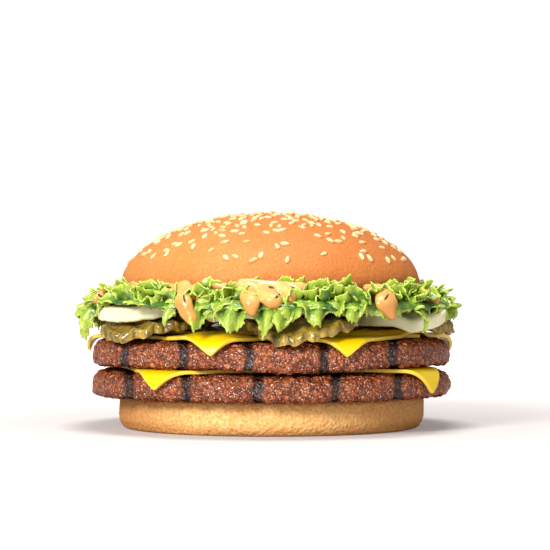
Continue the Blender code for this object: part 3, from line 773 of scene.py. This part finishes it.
def make_onion(index, radius, thick, middle, slope, cut_side, below, material):
    """cut_side is the direction that the straight edge of a half slice faces, or None."""
    outline = [(0, thick), (radius - 0.9, thick)] + quarter(radius - 0.9, thick - 1.1, 0.9, 1.1, 90, 0)
    outline += quarter(radius - 1.0, 1.0, 0.8, 1.0, 0, -90) + [(radius - 1.2, 0), (0, 0)]
    if cut_side is None:
        form = turned(evenly(outline, ONION_SPACING), ONION_STEPS)
    else:
        form = slab(ONION_HALF_CUTS)
        for corner in form.verts:
            angle = cut_side + 180 + 180 * corner.co.x
            side = 1 - (2 * abs(corner.co.z)) ** 6
            reach = (corner.co.y + 0.5) * (radius - 1.0 + side)
            corner.co = at(reach, angle, (corner.co.z + 0.5) * thick)
        bmesh.ops.remove_doubles(form, verts=form.verts, dist=WELD)
        bmesh.ops.recalc_face_normals(form, faces=form.faces)
    seam = layers(form, "seam")[0]
    for corner in form.verts:
        reach = hypot(corner.co.x, corner.co.y)
        wobble = 0.5 * noise.noise(corner.co / 9 + Vector((index * 5, 0, 0)))
        groove = cos(tau * (reach + wobble) / ONION_LAYER) ** 6
        corner[seam] = groove * (1 - ramp(radius - 1.5, radius - 0.5, reach))
        face = 1 if corner.co.z > thick / 2 else -1
        if reach < radius - 1.3 and abs(corner.co.z - thick / 2) > thick * 0.48:
            corner.co.z -= 0.3 * face * corner[seam]
        else:
            out = 1 + 0.25 * noise.noise(at(radius / 3, angle_of(corner.co), index)) / radius
            corner.co = Vector((corner.co.x * out, corner.co.y * out, corner.co.z))
    node = f"onion_{index}"
    lay(form, middle, radius, 0, below, slope, node)
    serve(form, f"onion_slice_{index}", [node], material, smooth_below=50)
    return node


ONION = raw_onion()
for index, (radius, thick, x, y, slope, cut_side) in enumerate(ONIONS, 1):
    stack.append(make_onion(index, radius, thick, (x, y), slope, cut_side, stack, ONION))

# Ten leaves of frilled green lettuce. A lower row lies under the crown, bends over past the onion and
# hangs in toothed lobes, and an upper row curls up round the crown. Each is one thin crisp blade.

LEAF_THICK = 0.5
LEAF_WAVE = 12.5
LEAF_SPACING = 0.45
LOWER_LEAF_HEIGHT = 46.6
UPPER_LEAF_HEIGHT = 47.6
LOWER_INNER, UPPER_INNER = 24, 30  # how far in the middle of a leaf reaches
LOWER_ROWS, UPPER_ROWS = 30, 24
LEAF_BEND_AT = 57.0  # where the lower leaves start to bend down
LEAF_BEND = 3.2  # and how far they are down when they hang straight
LEAF_CURL_AT = 54.5  # where the upper leaves start to curl up
# where each leaf starts and ends round the burger
LOWER_LEAVES = ((205, 290), (291, 371), (12, 102), (103, 204))
UPPER_LEAVES = ((169, 237), (249.5, 257), (281.5, 298), (314, 378), (20, 90), (92, 167))
# each tongue of sauce that lies on the leaves: its direction, and half its width in degrees
SAUCE_TONGUES = ((243.0, 5.0), (263.5, 5.5), (273.5, 6.0), (306.0, 6.5))
LOBE_ROOT = 45.4  # how high the hanging lobes leave their leaf
LOBE_CELLS = (36, 22)
# the radii and the heights between which the small curls of each row sit
LOWER_CURLS = ((59.5, 64.5), (44.8, 46.8))
UPPER_CURLS = ((55.5, 60.5), (46.2, 49.2))
TOOTH = 2.3  # from one tooth of a margin to the next
ONION_SHOWS = (218, 26)  # the direction where the half onion shows, and half of that width
# the lobes that hang at the front: direction, height of the tip, half width, and twist in degrees
HANGING_LOBES = (
    (193.0, 38.0, 5.5, 30),
    (200.5, 34.2, 6.0, -35),
    (208.0, 41.5, 4.5, 20),
    (232.5, 43.0, 4.5, -30),
    (239.5, 37.6, 3.4, 25),
    (249.6, 35.0, 3.8, -30),
    (254.4, 38.6, 4.5, 35),
    (259.4, 34.4, 6.2, -15),
    (267.6, 32.9, 4.0, 30),
    (272.4, 34.9, 5.0, -20),
    (276.2, 38.4, 4.2, 15),
    (283.0, 37.0, 6.0, -25),
    (288.6, 40.5, 4.0, 30),
    (292.4, 38.2, 5.2, 15),
    (299.0, 40.4, 5.0, -20),
    (313.5, 42.4, 4.5, 25),
    (319.8, 33.9, 3.6, -20),
    (327.5, 43.0, 4.0, 20),
    (337.5, 37.4, 5.0, 30),
    (345.0, 39.5, 5.0, -30),
)
# the lobes that stand at the front: direction, height of the tip, half width, twist, and which leaf
STANDING_LOBES = (
    (226.0, 53.0, 4.5, 20, 1),
    (232.5, 53.4, 4.2, -35, 1),
    (238.5, 53.0, 4.6, 35, 1),
    (248.0, 54.9, 4.4, -40, 2),
    (252.5, 53.6, 4.0, 45, 2),
    (257.5, 53.2, 4.4, -30, 2),
    (264.5, 55.0, 4.0, 15, 2),
    (274.5, 55.2, 5.4, -10, 3),
    (280.5, 54.8, 5.0, 25, 3),
    (287.5, 54.0, 4.6, -40, 3),
    (294.8, 53.6, 4.0, 40, 3),
    (299.5, 52.4, 3.6, -35, 3),
)


def round_rim(angle):
    """How far an angle takes one along the patties' rim."""
    return radians(angle) * PATTY_RADIUS


def ruffle(angle, phase):
    """The leaf's side to side wave at a place round the burger, from -1 to 1, uneven in pace."""
    distance = round_rim(angle)
    pace = 0.9 * sin(distance / 17 + phase) + 0.5 * sin(distance / 7.7 + 2 * phase)
    return sin(tau * distance / LEAF_WAVE + pace)


def frill(angle, phase):
    """A finer wave that rides on the ruffle near the margin."""
    distance = round_rim(angle)
    pace = 1.6 * sin(distance / 9.1 + 3 * phase) + 1.1 * sin(distance / 3.7 + phase)
    return sin(tau * distance / 4.6 + pace)


def tooth(value):
    """A row of pointed teeth, one for each whole number, from 0 between them to 1 at their tips."""
    return (1 - abs(2 * (value % 1) - 1)) * (0.6 + 0.4 * sin(value // 1 * 2.4))


def hang(reach, bend, drop, share):
    """(radius, height) on the way of a lower leaf past its bend, from 0 there to 1 at its margin."""
    turn = min(1.0, share * 2) * pi / 2
    fall = max(0.0, share - 0.5) * 2
    radius = LEAF_BEND_AT + (reach - LEAF_BEND_AT) * sin(turn)
    return radius, LOWER_LEAF_HEIGHT - bend * (1 - cos(turn)) - fall * max(0.0, drop - bend)


def lower_reach(angle):
    """How far out the lower leaves hang at each place."""
    return 69.6 + 1.0 * near(angle, 180, 60) - 1.0 * near(angle, 0, 60)


def beside(angle):
    """1 at either side of the burger, falling softly to 0 in front and behind."""
    return max(near(angle, 180, 48), near(angle, 0, 48))


def in_front(angle):
    """1 where the leaves face the camera, and 0 behind."""
    return 1 - ramp(66, 84, abs((angle - 268 + 180) % 360 - 180))


def lower_drop(angle):
    """How far down the lower leaves hang, which is less where the onion shows."""
    onion = max(near(angle, 216, 26), near(angle, 348, 24))
    return 10.0 - 7.5 * onion + 2.0 * near(angle, 180, 14)


def pressed(angle):
    """1 under a tongue of sauce, which holds the leaf's ruffles flat."""
    most = max(near(angle, direction, half_width * 2.5) for direction, half_width in SAUCE_TONGUES)
    return min(1.0, 1.6 * most)


def green_leaf():
    skin = Skin(
        "green_leaf", Roughness=0.34, Subsurface_Weight=0.2, Subsurface_Scale=0.7 * MM,
        Subsurface_Radius=(0.6, 1.0, 0.2), Coat_Weight=0.25
    )
    green = skin.two_tone(190.0, 0.16, "92AC32", "568220")
    # painted shade: darker green in the troughs of the ruffles
    skin.colour = mixed(skin.tree, skin.painted("fold"), tone("27581A"), green)
    # painted light: paler towards the margin, with a painted highlight along the very edge
    skin.over(skin.painted("margin", 0.55, 0.95), "A6BC3C")
    skin.over(skin.painted("margin", 0.93), "BED05C")
    inputs = {"Vector": skin.place, "Scale": 420.0}
    veins = wire(skin.tree, "TexVoronoi", inputs, feature="DISTANCE_TO_EDGE").outputs["Distance"]
    skin.over(eased(skin.tree, veins, 0.1, 0.0), "C4E26A", 0.14)
    skin.relief(clouds(skin.tree, skin.place, 520.0, Detail=3), 0.5)
    return skin.finished()


def sheet(form, columns, rows, size):
    """Adds a flat grid, as its corners and its two values: margin, and the painted shade of its folds."""
    corners = bmesh.ops.create_grid(form, x_segments=columns, y_segments=rows, size=size)["verts"]
    return corners, *form.verts.layers.float.values()


def blade(form, start, end, rows, place):
    """Adds the leaf's own sheet. place(share, across, angle) gives a point and its ruffle, from -1 to 1."""
    columns = max(16, round(round_rim(end - start) / LEAF_SPACING))
    corners, margin, fold = sheet(form, columns, rows, 0.5)
    for corner in corners:
        share, across = corner.co.x + 0.5, corner.co.y + 0.5
        point, out = place(share, across, start + (end - start) * share)
        corner[margin] = across
        # painted shade, darkest in the troughs of the ruffles
        corner[fold] = ramp(-0.8, 0.9, out)
        pucker = 0.4 * noise.noise(point / 2.6) * ramp(0.3, 0.6, across)
        corner.co = point + Vector((point.x, point.y, 0)).normalized() * pucker


def lobe(
    form, direction, root, length, half, pitches, twist, heading, seed, taper=0.55, deep=1.1, jagged=0.55
):
    """Adds a toothed lobe, which grows outwards from its root at (radius, height).

    Its pitch above the horizontal goes from the first to the second on the way, and twist turns its tip
    about its own length. heading turns it to the side of outwards. taper 1 narrows it to a point, deep is
    the height of its ruffles, and jagged is how long the teeth at its tip are.
    """
    corners, margin, fold = sheet(form, *LOBE_CELLS, 1)
    first, bend = radians(pitches[0]), radians(pitches[1] - pitches[0])
    outwards, sideways = at(1, direction + heading), at(1, direction + heading + 90)
    start = at(root[0], direction, root[1])
    for corner in corners:
        across, gone = corner.co.x, (corner.co.y + 1) / 2
        edge = abs(across) ** 5
        width = half * (1 - taper * gone ** 1.5) * (0.8 + 0.2 * ramp(0, 0.4, gone))
        width += (1.1 * tooth(gone * length / 3.1 + seed) - 0.3) * ramp(0.1, 0.4, gone)
        side = across * width + 0.16 * half * sin(gone * 3.1 + seed)
        along_it = length * gone * (1 - 0.22 * across * across)
        along_it += jagged * (1.6 * tooth(across * half / TOOTH + 0.5 + seed) - 0.5) * gone ** 4
        share = along_it / length
        pitch = first + bend * share
        out = length / bend * (sin(pitch) - sin(first))
        up = length / bend * (cos(first) - cos(pitch))
        wave = sin(tau * side / min(5.6, 1.25 * half) + seed * 2.1 + 2 * gone)
        fine = sin(tau * along_it / 2.9 + seed + 3 * across) * edge
        lumps = 0.5 * noise.noise(Vector((side, along_it, seed)) / 2.4)
        lift = deep * (wave * (0.3 + 0.7 * gone) + 0.45 * fine + lumps)
        turn = radians(twist) * gone
        cosine, sine = cos(turn), sin(turn)
        lift, side = lift * cosine + side * sine, side * cosine - lift * sine
        corner[margin] = max(gone, 0.3 + 0.7 * edge)
        # painted shade, darkest in the troughs and lighter towards the tip
        corner[fold] = ramp(-1.1, 0.9, wave + 0.6 * gone)
        corner.co = start + outwards * (out - lift * sin(pitch)) + sideways * side
        corner.co.z += up + lift * cos(pitch)


def hanging_lobe(form, direction, tip, half, twist, seed):
    """A lobe that leaves its leaf level, bends over and hangs down to the height of its tip."""
    drop = LOBE_ROOT - tip
    length = drop / 0.74
    root = min(lower_reach(direction) - 0.5 - 4.5 * beside(direction) - 0.52 * length, 64.0)
    lobe(form, direction, (root, LOBE_ROOT), length, 1.3 * half, (4, -104), twist, 0, seed, jagged=1.0)


def standing_lobe(form, direction, tip, half, twist, seed, lean=88, heading=0):
    """A lobe that leaves its leaf level and curls up to the height of its tip."""
    first = 12 + 50 * pressed(direction)
    length = (tip - UPPER_LEAF_HEIGHT) / (0.66 + 0.3 * pressed(direction))
    root = (LEAF_CURL_AT + 1.5, UPPER_LEAF_HEIGHT - 1)
    lobe(form, direction, root, length, half, (first, lean), twist, heading, seed)


def uneven_steps(draw, start, end, shortest, longest):
    """Directions from start to end, with steps of uneven length between them."""
    while start < end:
        yield start
        start += draw.uniform(shortest, longest)


def curls(form, start, end, radii, heights, seed):
    """Small curled lobes, crowded along a leaf's margin, that point all ways out, up and down."""
    draw = random.Random(seed)
    for angle in uneven_steps(draw, start, end, 2.6, 4.4):
        root = (draw.uniform(*radii) - 3.5 * beside(angle), draw.uniform(*heights) - 3.0 * beside(angle))
        # over the onion at the front left none of them hangs down
        pitches = (draw.uniform(-10, 45), draw.uniform(-80 + 100 * near(angle, 218, 30), 100))
        length, half = draw.uniform(5.0, 8.0), draw.uniform(3.6, 5.6)
        twist, heading, seed = draw.uniform(-50, 50), draw.uniform(-50, 50), draw.uniform(0, 9)
        lobe(form, angle, root, length, half, pitches, twist, heading, seed, taper=0.2, deep=1.3)


def leaf_form():
    form = bmesh.new()
    layers(form, "margin", "fold")
    return form


def leaf_piece(form, name, node, material):
    thicken(serve(form, name, [node], material, smooth_below=180), LEAF_THICK)


def make_lower_leaf(index, start, end, material):
    def place(share, across, angle):
        ends = 1 - abs(2 * share - 1) ** 12
        inner = LOWER_INNER + 12 * (1 - ends)
        if across <= 0.2:
            return at(inner + (LEAF_BEND_AT - inner) * across * 5, angle, LOWER_LEAF_HEIGHT), 0.4
        past = (across - 0.2) / 0.8
        free = 1 - 0.7 * pressed(angle)
        outer = ramp(0.35, 1, past)
        front, onion = in_front(angle), near(angle, *ONION_SHOWS)
        drop = front * (3.4 - 2.2 * onion + 3.2 * near(angle, 305, 13))
        drop += (1 - front) * 0.6 * lower_drop(angle)
        drop += 1.4 * tooth(round_rim(angle) / TOOTH) * ramp(0.7, 1, past) - 0.5
        reach = lower_reach(angle) - 1.5 - 2 * beside(angle)
        radius, height = hang(reach, LEAF_BEND - 2 * onion, drop, past)
        first, second = ruffle(angle, index), frill(angle, index)
        turn = radians(90 * past)
        rise = free * (2.0 * first * ramp(0.15, 1, past) + 1.2 * second * outer)
        point = at(radius + rise * sin(turn), angle, height + rise * cos(turn))
        return point, first * free + 0.4 * second * outer

    form = leaf_form()
    blade(form, start, end, LOWER_ROWS, place)
    for seed, (direction, tip, half, twist) in enumerate(HANGING_LOBES):
        if start <= direction < end:
            hanging_lobe(form, direction, tip, half, twist, 1.37 * seed)
    curls(form, start + 2, end - 2, *LOWER_CURLS, 20 + index)
    draw = random.Random(40 + index)
    for angle in uneven_steps(draw, start + 4, end - 4, 5, 7.5):
        if in_front(angle) < 0.5 and not 189 < angle < 205:
            tip = LOBE_ROOT - (lower_drop(angle) + 1) * draw.uniform(0.75, 1.2)
            hanging_lobe(form, angle, tip, draw.uniform(4, 6), draw.uniform(-35, 35), draw.uniform(0, 9))
    leaf_piece(form, f"hanging_leaf_{index}", f"lettuce_lower_{index}", material)


def make_upper_leaf(index, start, end, material):
    def place(share, across, angle):
        ends = 1 - abs(2 * share - 1) ** 8
        wave, second = ruffle(angle, 2 * index), frill(angle, 2 * index)
        inner = UPPER_INNER + 10 * (1 - ends)
        if across < 0.25:
            return at(inner + (LEAF_CURL_AT - inner) * across * 4, angle, UPPER_LEAF_HEIGHT), 0.2
        curl = (across - 0.25) / 0.75
        outer = ramp(0.35, 1, curl)
        radius = LEAF_CURL_AT + (7.0 * ends + 2) * sin(curl * 1.35) + 0.8 * wave * curl
        rise = curl * (2.6 + 3.4 * wave * ends * ramp(0.1, 1, curl)) * ends + 1.1 * second * outer
        rise += 1.4 * tooth(round_rim(angle) / 2.1) * ramp(0.65, 1, curl)
        height = UPPER_LEAF_HEIGHT + rise * (1 - 0.8 * beside(angle))
        return at(radius + 1.3 * second * outer, angle, height), wave * outer + 0.4 * second

    form = leaf_form()
    blade(form, start, end, UPPER_ROWS, place)
    curls(form, start + 1, end - 1, *UPPER_CURLS, index)
    for seed, (direction, tip, half, twist, leaf) in enumerate(STANDING_LOBES):
        if leaf == index:
            standing_lobe(form, direction, tip, half, twist, 1.71 * seed)
    draw = random.Random(70 + index)
    for angle in uneven_steps(draw, start + 3, end - 2, 5, 8):
        if index > 3 or index == 1 and angle < 222:
            side = max(near(angle, 190, 40), near(angle, 350, 40))
            tip = UPPER_LEAF_HEIGHT + draw.uniform(3.5, 6.5) - 1.5 * side
            half, twist, seed = draw.uniform(4.2, 5.8), draw.uniform(-40, 40), draw.uniform(0, 9)
            # at the sides they turn to the front, so that none of them is seen as a thin edge
            heading = 55 * near(angle, 195, 45) - 55 * near(angle, 345, 45)
            standing_lobe(form, angle, tip, half, twist, seed, 88 - 62 * side, heading)
    leaf_piece(form, f"curled_leaf_{index}", f"lettuce_upper_{index}", material)


LEAF = green_leaf()
for index, (start, end) in enumerate(LOWER_LEAVES, 1):
    make_lower_leaf(index, start, end, LEAF)
for index, (start, end) in enumerate(UPPER_LEAVES, 1):
    make_upper_leaf(index, start, end, LEAF)

# The sauce is a pale orange mayonnaise with dark herbs. It was spread under the crown, and runs out over
# the leaves in thick glossy tongues and dabs that flow into each other.

SAUCE_RADIUS = 46.0
SAUCE_LOW = 48.0
SAUCE_HIGH = 48.5
SAUCE_GRAIN = 0.42  # how finely the runs are divided
# how far out the front of the leaves is at its top, and how much further out it is below
FACE_RADIUS, FACE_SWELL = 59.5, 10.5
# each run of sauce at the front: where it starts and ends as (across, height), and half its width there
RUNS = (
    ((-35.0, 49.8), (-29.0, 50.6), 1.3, 1.7),
    ((-29.0, 50.4), (-29.0, 45.0), 3.0, 3.3),
    ((-29.0, 45.0), (-26.6, 40.2), 3.3, 2.2),
    ((-27.5, 49.0), (-23.2, 47.4), 2.3, 1.9),
    ((-18.5, 51.2), (-14.4, 50.4), 1.3, 1.1),
    ((-9.8, 51.2), (10.6, 50.2), 1.9, 1.7),
    ((-7.8, 49.6), (-6.6, 45.0), 3.3, 2.9),
    ((-6.6, 45.0), (-6.2, 42.6), 2.7, 1.6),
    ((-2.2, 49.4), (0.4, 45.8), 4.4, 3.2),
    ((3.4, 49.2), (6.6, 47.4), 4.0, 2.2),
    ((6.2, 49.8), (8.6, 49.0), 2.4, 1.6),
    ((32.0, 50.0), (36.5, 49.2), 1.2, 2.2),
    ((38.2, 49.0), (38.4, 45.2), 4.4, 4.6),
    ((38.4, 45.2), (40.6, 40.8), 4.2, 1.3),
    ((-58.6, 48.2), (-60.0, 46.2), 1.5, 1.5),
    ((-47.5, 51.0), (-45.0, 49.8), 1.3, 1.6),
    ((52.4, 48.4), (56.4, 46.2), 1.5, 1.3),
)
# each flake of herb on the sauce: where it is as (across, height), its turn, and its length
HERBS = (
    (-28.6, 46.6, 80, 3.4),
    (-34.4, 50.4, 5, 1.8),
    (-8.4, 50.6, -8, 3.2),
    (2.3, 47.6, -40, 2.4),
    (7.6, 50.2, 20, 2.0),
    (0.2, 50.4, 15, 2.2),
    (38.6, 47.2, -50, 2.6),
    (-46.4, 50.6, 15, 1.9),
    (-59.2, 47.4, 40, 1.6),
    (54.6, 47.3, -30, 1.6),
)


def creamy_sauce():
    skin = Skin(
        "creamy_sauce", Roughness=0.3, Subsurface_Weight=0.1, Subsurface_Scale=1.0 * MM, Coat_Weight=0.25
    )
    skin.colour = skin.two_tone(150.0, 0.25, "EAB66C", "D6984A")
    # painted shade: the runs are darker and more orange towards their lower ends
    skin.over(skin.past("Z", 49.0, 43.0), "CF8635", 0.7)
    skin.relief(clouds(skin.tree, skin.place, 260.0), 0.3)
    return skin.finished()


def stamp(form, one, move):
    """Adds a copy of a mesh to the form, with its corners moved by move(point)."""
    start = len(form.verts)
    form.from_mesh(one)
    form.verts.ensure_lookup_table()
    for corner in form.verts[start:]:
        corner.co = move(corner.co)


def face_point(across, height):
    """The place at the front of the leaves that far across and that high."""
    radius = FACE_RADIUS + FACE_SWELL * ramp(50.5, 44.5, height)
    return Vector((across, -sqrt(max(1.0, radius * radius - across * across)), height))


def sauce_runs():
    """All the runs as one smooth body, made of beads that are melted into each other."""
    bead = bmesh.new()
    bmesh.ops.create_icosphere(bead, subdivisions=3, radius=1)
    one = mesh_of(bead, "bead")
    form = bmesh.new()
    for number, (first, last, wide_first, wide_last) in enumerate(RUNS):
        count = 3 + round(dist(first, last) / 0.9)
        for step in range(count):
            share = step / (count - 1)
            wide = wide_first + (wide_last - wide_first) * share
            wide *= 1 + 0.16 * noise.noise(Vector((share * 3, number, 0)))
            across, height = Vector(first).lerp(Vector(last), share)
            across += 0.25 * wide * noise.noise(Vector((share * 2.5, number, 5)))
            spot = face_point(across, height)
            steep = ramp(51, 47, height)
            size = Matrix.Diagonal((wide, 1.5 + 0.4 * steep, min(wide, 2.2) + 0.4))
            spin = Matrix.Rotation(radians(angle_of(spot) + 90), 3, "Z")
            stamp(form, one, lambda point: spot + spin @ size @ point)
    melted = shown("runs", mesh_of(form, "runs"))
    melted.modifiers.new("melt", "REMESH").voxel_size = SAUCE_GRAIN
    made = bmesh.new()
    made.from_object(melted, bpy.context.evaluated_depsgraph_get())
    for spare in (one, melted.data):
        bpy.data.meshes.remove(spare)
    smoothed(made, made.verts, 10)
    return made


def make_sauce(material):
    flat = [(0, SAUCE_HIGH), (SAUCE_RADIUS, SAUCE_HIGH), (SAUCE_RADIUS, SAUCE_LOW), (0, SAUCE_LOW)]
    form = turned(evenly(flat, 2), 96)
    runs = sauce_runs()
    search = BVHTree.FromBMesh(runs)
    part = mesh_of(runs, "part")
    form.from_mesh(part)
    bpy.data.meshes.remove(part)
    serve(form, "sauce_spread", ["sauce"], material)
    return search


def herb_flake():
    skin = Skin("herb_flake", Roughness=0.5)
    skin.colour = skin.two_tone(700.0, 0.2, "5A3216", "2E1A0C")
    return skin.finished()


def make_herbs(runs, material):
    """The flakes lie on the runs, bent to them."""
    form = bmesh.new()
    for across, height, turn, length in HERBS:
        spin = Matrix.Rotation(radians(turn), 3, "Y")
        for corner in bmesh.ops.create_uvsphere(form, u_segments=12, v_segments=6, radius=0.5)["verts"]:
            x, z = corner.co.x * length, corner.co.z * 0.75 * (1 - 0.5 * corner.co.x)
            flat = spin @ Vector((x, 0, z))
            from_camera = Vector((across + flat.x, -90, height + flat.z))
            spot = runs.ray_cast(from_camera, Vector((0, 1, 0)))[0]
            depth = spot.y if spot else face_point(across, height).y - 1.5
            corner.co = Vector((from_camera.x, depth + 0.5 * corner.co.y, from_camera.z))
    serve(form, "herb_flakes", ["sauce"], material)


make_herbs(make_sauce(creamy_sauce()), herb_flake())

# The crown is the domed top of the bun. Its thin crust was brushed before baking, so it is golden and
# satin. Its top is browner, from toasting and from painted shade, and its right side has painted shade.
# The cut face under it is flat.

CROWN_RADIUS = 54.0
CROWN_CUT_RADIUS = 49.5
CROWN_CUT = 48.85
CROWN_WIDEST = 51.8
CROWN_TOP = 76.9
CROWN_POWER = 1.87
CROWN_STEPS = 256


def crown_outline():
    """The crown's half outline from its top to the middle of its cut face."""
    dome = [(0, CROWN_TOP)]
    for turn in range(88, 0, -2):
        across = cos(radians(turn)) ** (2 / CROWN_POWER)
        up = sin(radians(turn)) ** (2 / CROWN_POWER)
        dome.append((CROWN_RADIUS * across, CROWN_WIDEST + (CROWN_TOP - CROWN_WIDEST) * up))
    wide, high = CROWN_RADIUS - CROWN_CUT_RADIUS, CROWN_WIDEST - CROWN_CUT
    return dome + quarter(CROWN_CUT_RADIUS, CROWN_WIDEST, wide, high, 0, -90) + [(0, CROWN_CUT)]


def crown_warp(point):
    """The dome isn't quite round: its sides are a little uneven."""
    rise = ramp(CROWN_CUT, CROWN_TOP, point.z)
    return uneven(point, 34, 1.6 * ramp(CROWN_CUT, CROWN_WIDEST, point.z) * (1 - rise), 8)


def baked_crust():
    skin = Skin("baked_crust", Roughness=0.6, Specular_IOR_Level=0.2)
    skin.colour = skin.two_tone(1200.0, 0.22, "D69150", "BE773C")
    # browner towards the top: partly the crust's toasting, partly painted shade under the overhead light
    skin.over(skin.past("Z", 54, 76), "C9702F", 0.35)
    skin.over(skin.patches(48.0, 0.3), "C66C2C", 0.4)
    # painted shade: the right side is darker, away from the light
    skin.over(skin.past("X", -30, 55), "AE5824", 0.5)
    skin.grains(900.0, 0.12)
    return skin.finished()


def make_crown():
    form = turned(evenly(crown_outline(), 1.0), CROWN_STEPS)
    warp(form, crown_warp)
    surface_tree = BVHTree.FromBMesh(form)

    def blisters(point):
        if point.z < CROWN_CUT + 0.2:
            return 0.0
        return 0.22 * noise.noise(point / 7) + 0.1 * noise.noise(point / 2.2)

    emboss(form, blisters)
    serve(form, "crown", ["bun_crown"], baked_crust())
    return surface_tree


dome = make_crown()

# The sesame seeds stuck to the crust when it was brushed. They are hulled, cream, flat and drop-shaped,
# crowded at the top of the crown and thinning out down its sides.

SEED_LENGTH, SEED_WIDTH, SEED_HIGH = 3.0, 1.6, 1.2
SEED_OUT = 0.1
SEED_COUNT = 360
SEED_SPACING = 2.2
SEED_REACH = 51  # how far from the axis they lie
SEED_CROWDED = 28  # and how far from it they are crowded


def seed_places(surface_tree, count):
    """Places on the dome, with the normal there and a turn."""
    draw = random.Random(11)
    found = []
    while len(found) < count:
        angle, radius = draw.uniform(0, 360), SEED_REACH * sqrt(draw.random())
        if draw.random() > 1 - 0.7 * ramp(SEED_CROWDED, SEED_REACH, radius):
            continue
        spot, normal = surface_tree.ray_cast(at(radius, angle, 200), Vector((0, 0, -1)))[:2]
        if spot and all((spot - other).length > SEED_SPACING for other, _, _ in found):
            found.append((spot, normal, draw.uniform(0, 360)))
    return found


def hulled_sesame():
    skin = Skin("hulled_sesame", Roughness=0.42, Subsurface_Weight=0.2, Subsurface_Scale=0.6 * MM)
    skin.colour = skin.two_tone(190.0, 0.2, "EFD2A2", "D8A86C")
    return skin.finished()


def make_seeds(surface_tree, material):
    seed = bmesh.new()
    bmesh.ops.create_uvsphere(seed, u_segments=12, v_segments=8, radius=0.5)

    def drop(point):
        narrow = 1 - 0.45 * (point.x + 0.5)
        return Vector((point.x * SEED_LENGTH, point.y * SEED_WIDTH * narrow * 1.25, point.z * SEED_HIGH))

    warp(seed, drop)
    one = mesh_of(seed, "seed")
    form = bmesh.new()
    sizes = random.Random(5)
    for spot, normal, turn in seed_places(surface_tree, SEED_COUNT):
        size = sizes.uniform(0.9, 1.2)
        basis = normal.to_track_quat("Z", "X") @ Vector((1, 0, 0)).rotation_difference(at(1, turn))
        stamp(form, one, lambda point: spot + normal * SEED_HIGH * SEED_OUT + basis @ point * size)
    bpy.data.meshes.remove(one)
    serve(form, "sesame_seeds", ["bun_crown"], material)


make_seeds(dome, hulled_sesame())

# The stage is a plain white floor in a white room. The main light stands on the left in front, a little
# above the burger, with a weak one on the right and one overhead. The camera is level, with a long lens.

CAMERA_DISTANCE = 800.0
CAMERA_HEIGHT = 54.5
CAMERA_ASIDE = 1.4
CAMERA_VIEW = 198.0  # how much the frame takes in across, at the burger's middle
SENSOR = 36.0
ROOM_LIGHT = 0.36
# how much the floor glows for the camera, near the burger and far off, where it is as white as the room
NEAR_GLOW, FAR_GLOW = 0.18, 1.1
LIT_POINT = Vector((0, 0, 0.045))
FLOOR_HALF = 6


def area_light(name, place, size, power, colour):
    lamp = bpy.data.lights.new(name, "AREA")
    lamp.size, lamp.energy, lamp.color = size, power, colour
    made = shown(name, lamp)
    made.location = place
    made.rotation_euler = (LIT_POINT - Vector(place)).to_track_quat("-Z", "Y").to_euler()


# each light: its place and size in metres, its power in watts, and its colour
area_light("key", (-0.52, -0.94, 0.5), 0.3, 15.5, (1.0, 0.98, 0.94))
area_light("fill", (0.75, -0.65, 0.3), 0.6, 1.3, (1.0, 0.98, 0.95))
area_light("top", (0.0, -0.1, 0.95), 0.3, 7.5, (1.0, 1.0, 1.0))

sweep = bmesh.new()
bmesh.ops.create_grid(sweep, x_segments=1, y_segments=1, size=FLOOR_HALF)
floor = shown("floor", mesh_of(sweep, "floor"))
white = Skin(
    "white_floor", Roughness=1.0, Specular_IOR_Level=0.0, Base_Color=(0.54, 0.5, 0.49, 1),
    Emission_Color=(1.0, 0.95, 0.93, 1)
)
away = wire(white.tree, "VectorMath", {0: white.place}, operation="LENGTH").outputs["Value"]
inputs = {"Value": away, "From Min": 0.09, "From Max": 0.5, "To Min": NEAR_GLOW, "To Max": FAR_GLOW}
glow = wire(white.tree, "MapRange", inputs).outputs[0]
seen = wire(white.tree, "LightPath").outputs["Is Camera Ray"]
plug(white.tree, white.shader["Emission Strength"], worked(white.tree, "MULTIPLY", seen, glow))
floor.data.materials.append(white.made)

world = bpy.data.worlds.new("studio")
world.use_nodes = True
tree = world.node_tree
room = tree.nodes["Background"].inputs
room["Color"].default_value = (1, 1, 1, 1)
seen = wire(tree, "LightPath").outputs["Is Camera Ray"]
inputs = {"Value": seen, "To Min": ROOM_LIGHT, "To Max": FAR_GLOW}
plug(tree, room["Strength"], wire(tree, "MapRange", inputs).outputs[0])
bpy.context.scene.world = world

lens = bpy.data.cameras.new("camera")
lens.sensor_width = SENSOR
lens.lens = SENSOR * CAMERA_DISTANCE / CAMERA_VIEW
camera = shown("camera", lens)
camera.location = (CAMERA_ASIDE * MM, -CAMERA_DISTANCE * MM, CAMERA_HEIGHT * MM)
camera.rotation_euler = (radians(90), 0, 0)
bpy.context.scene.camera = camera
bpy.context.scene.view_settings.view_transform = "Standard"
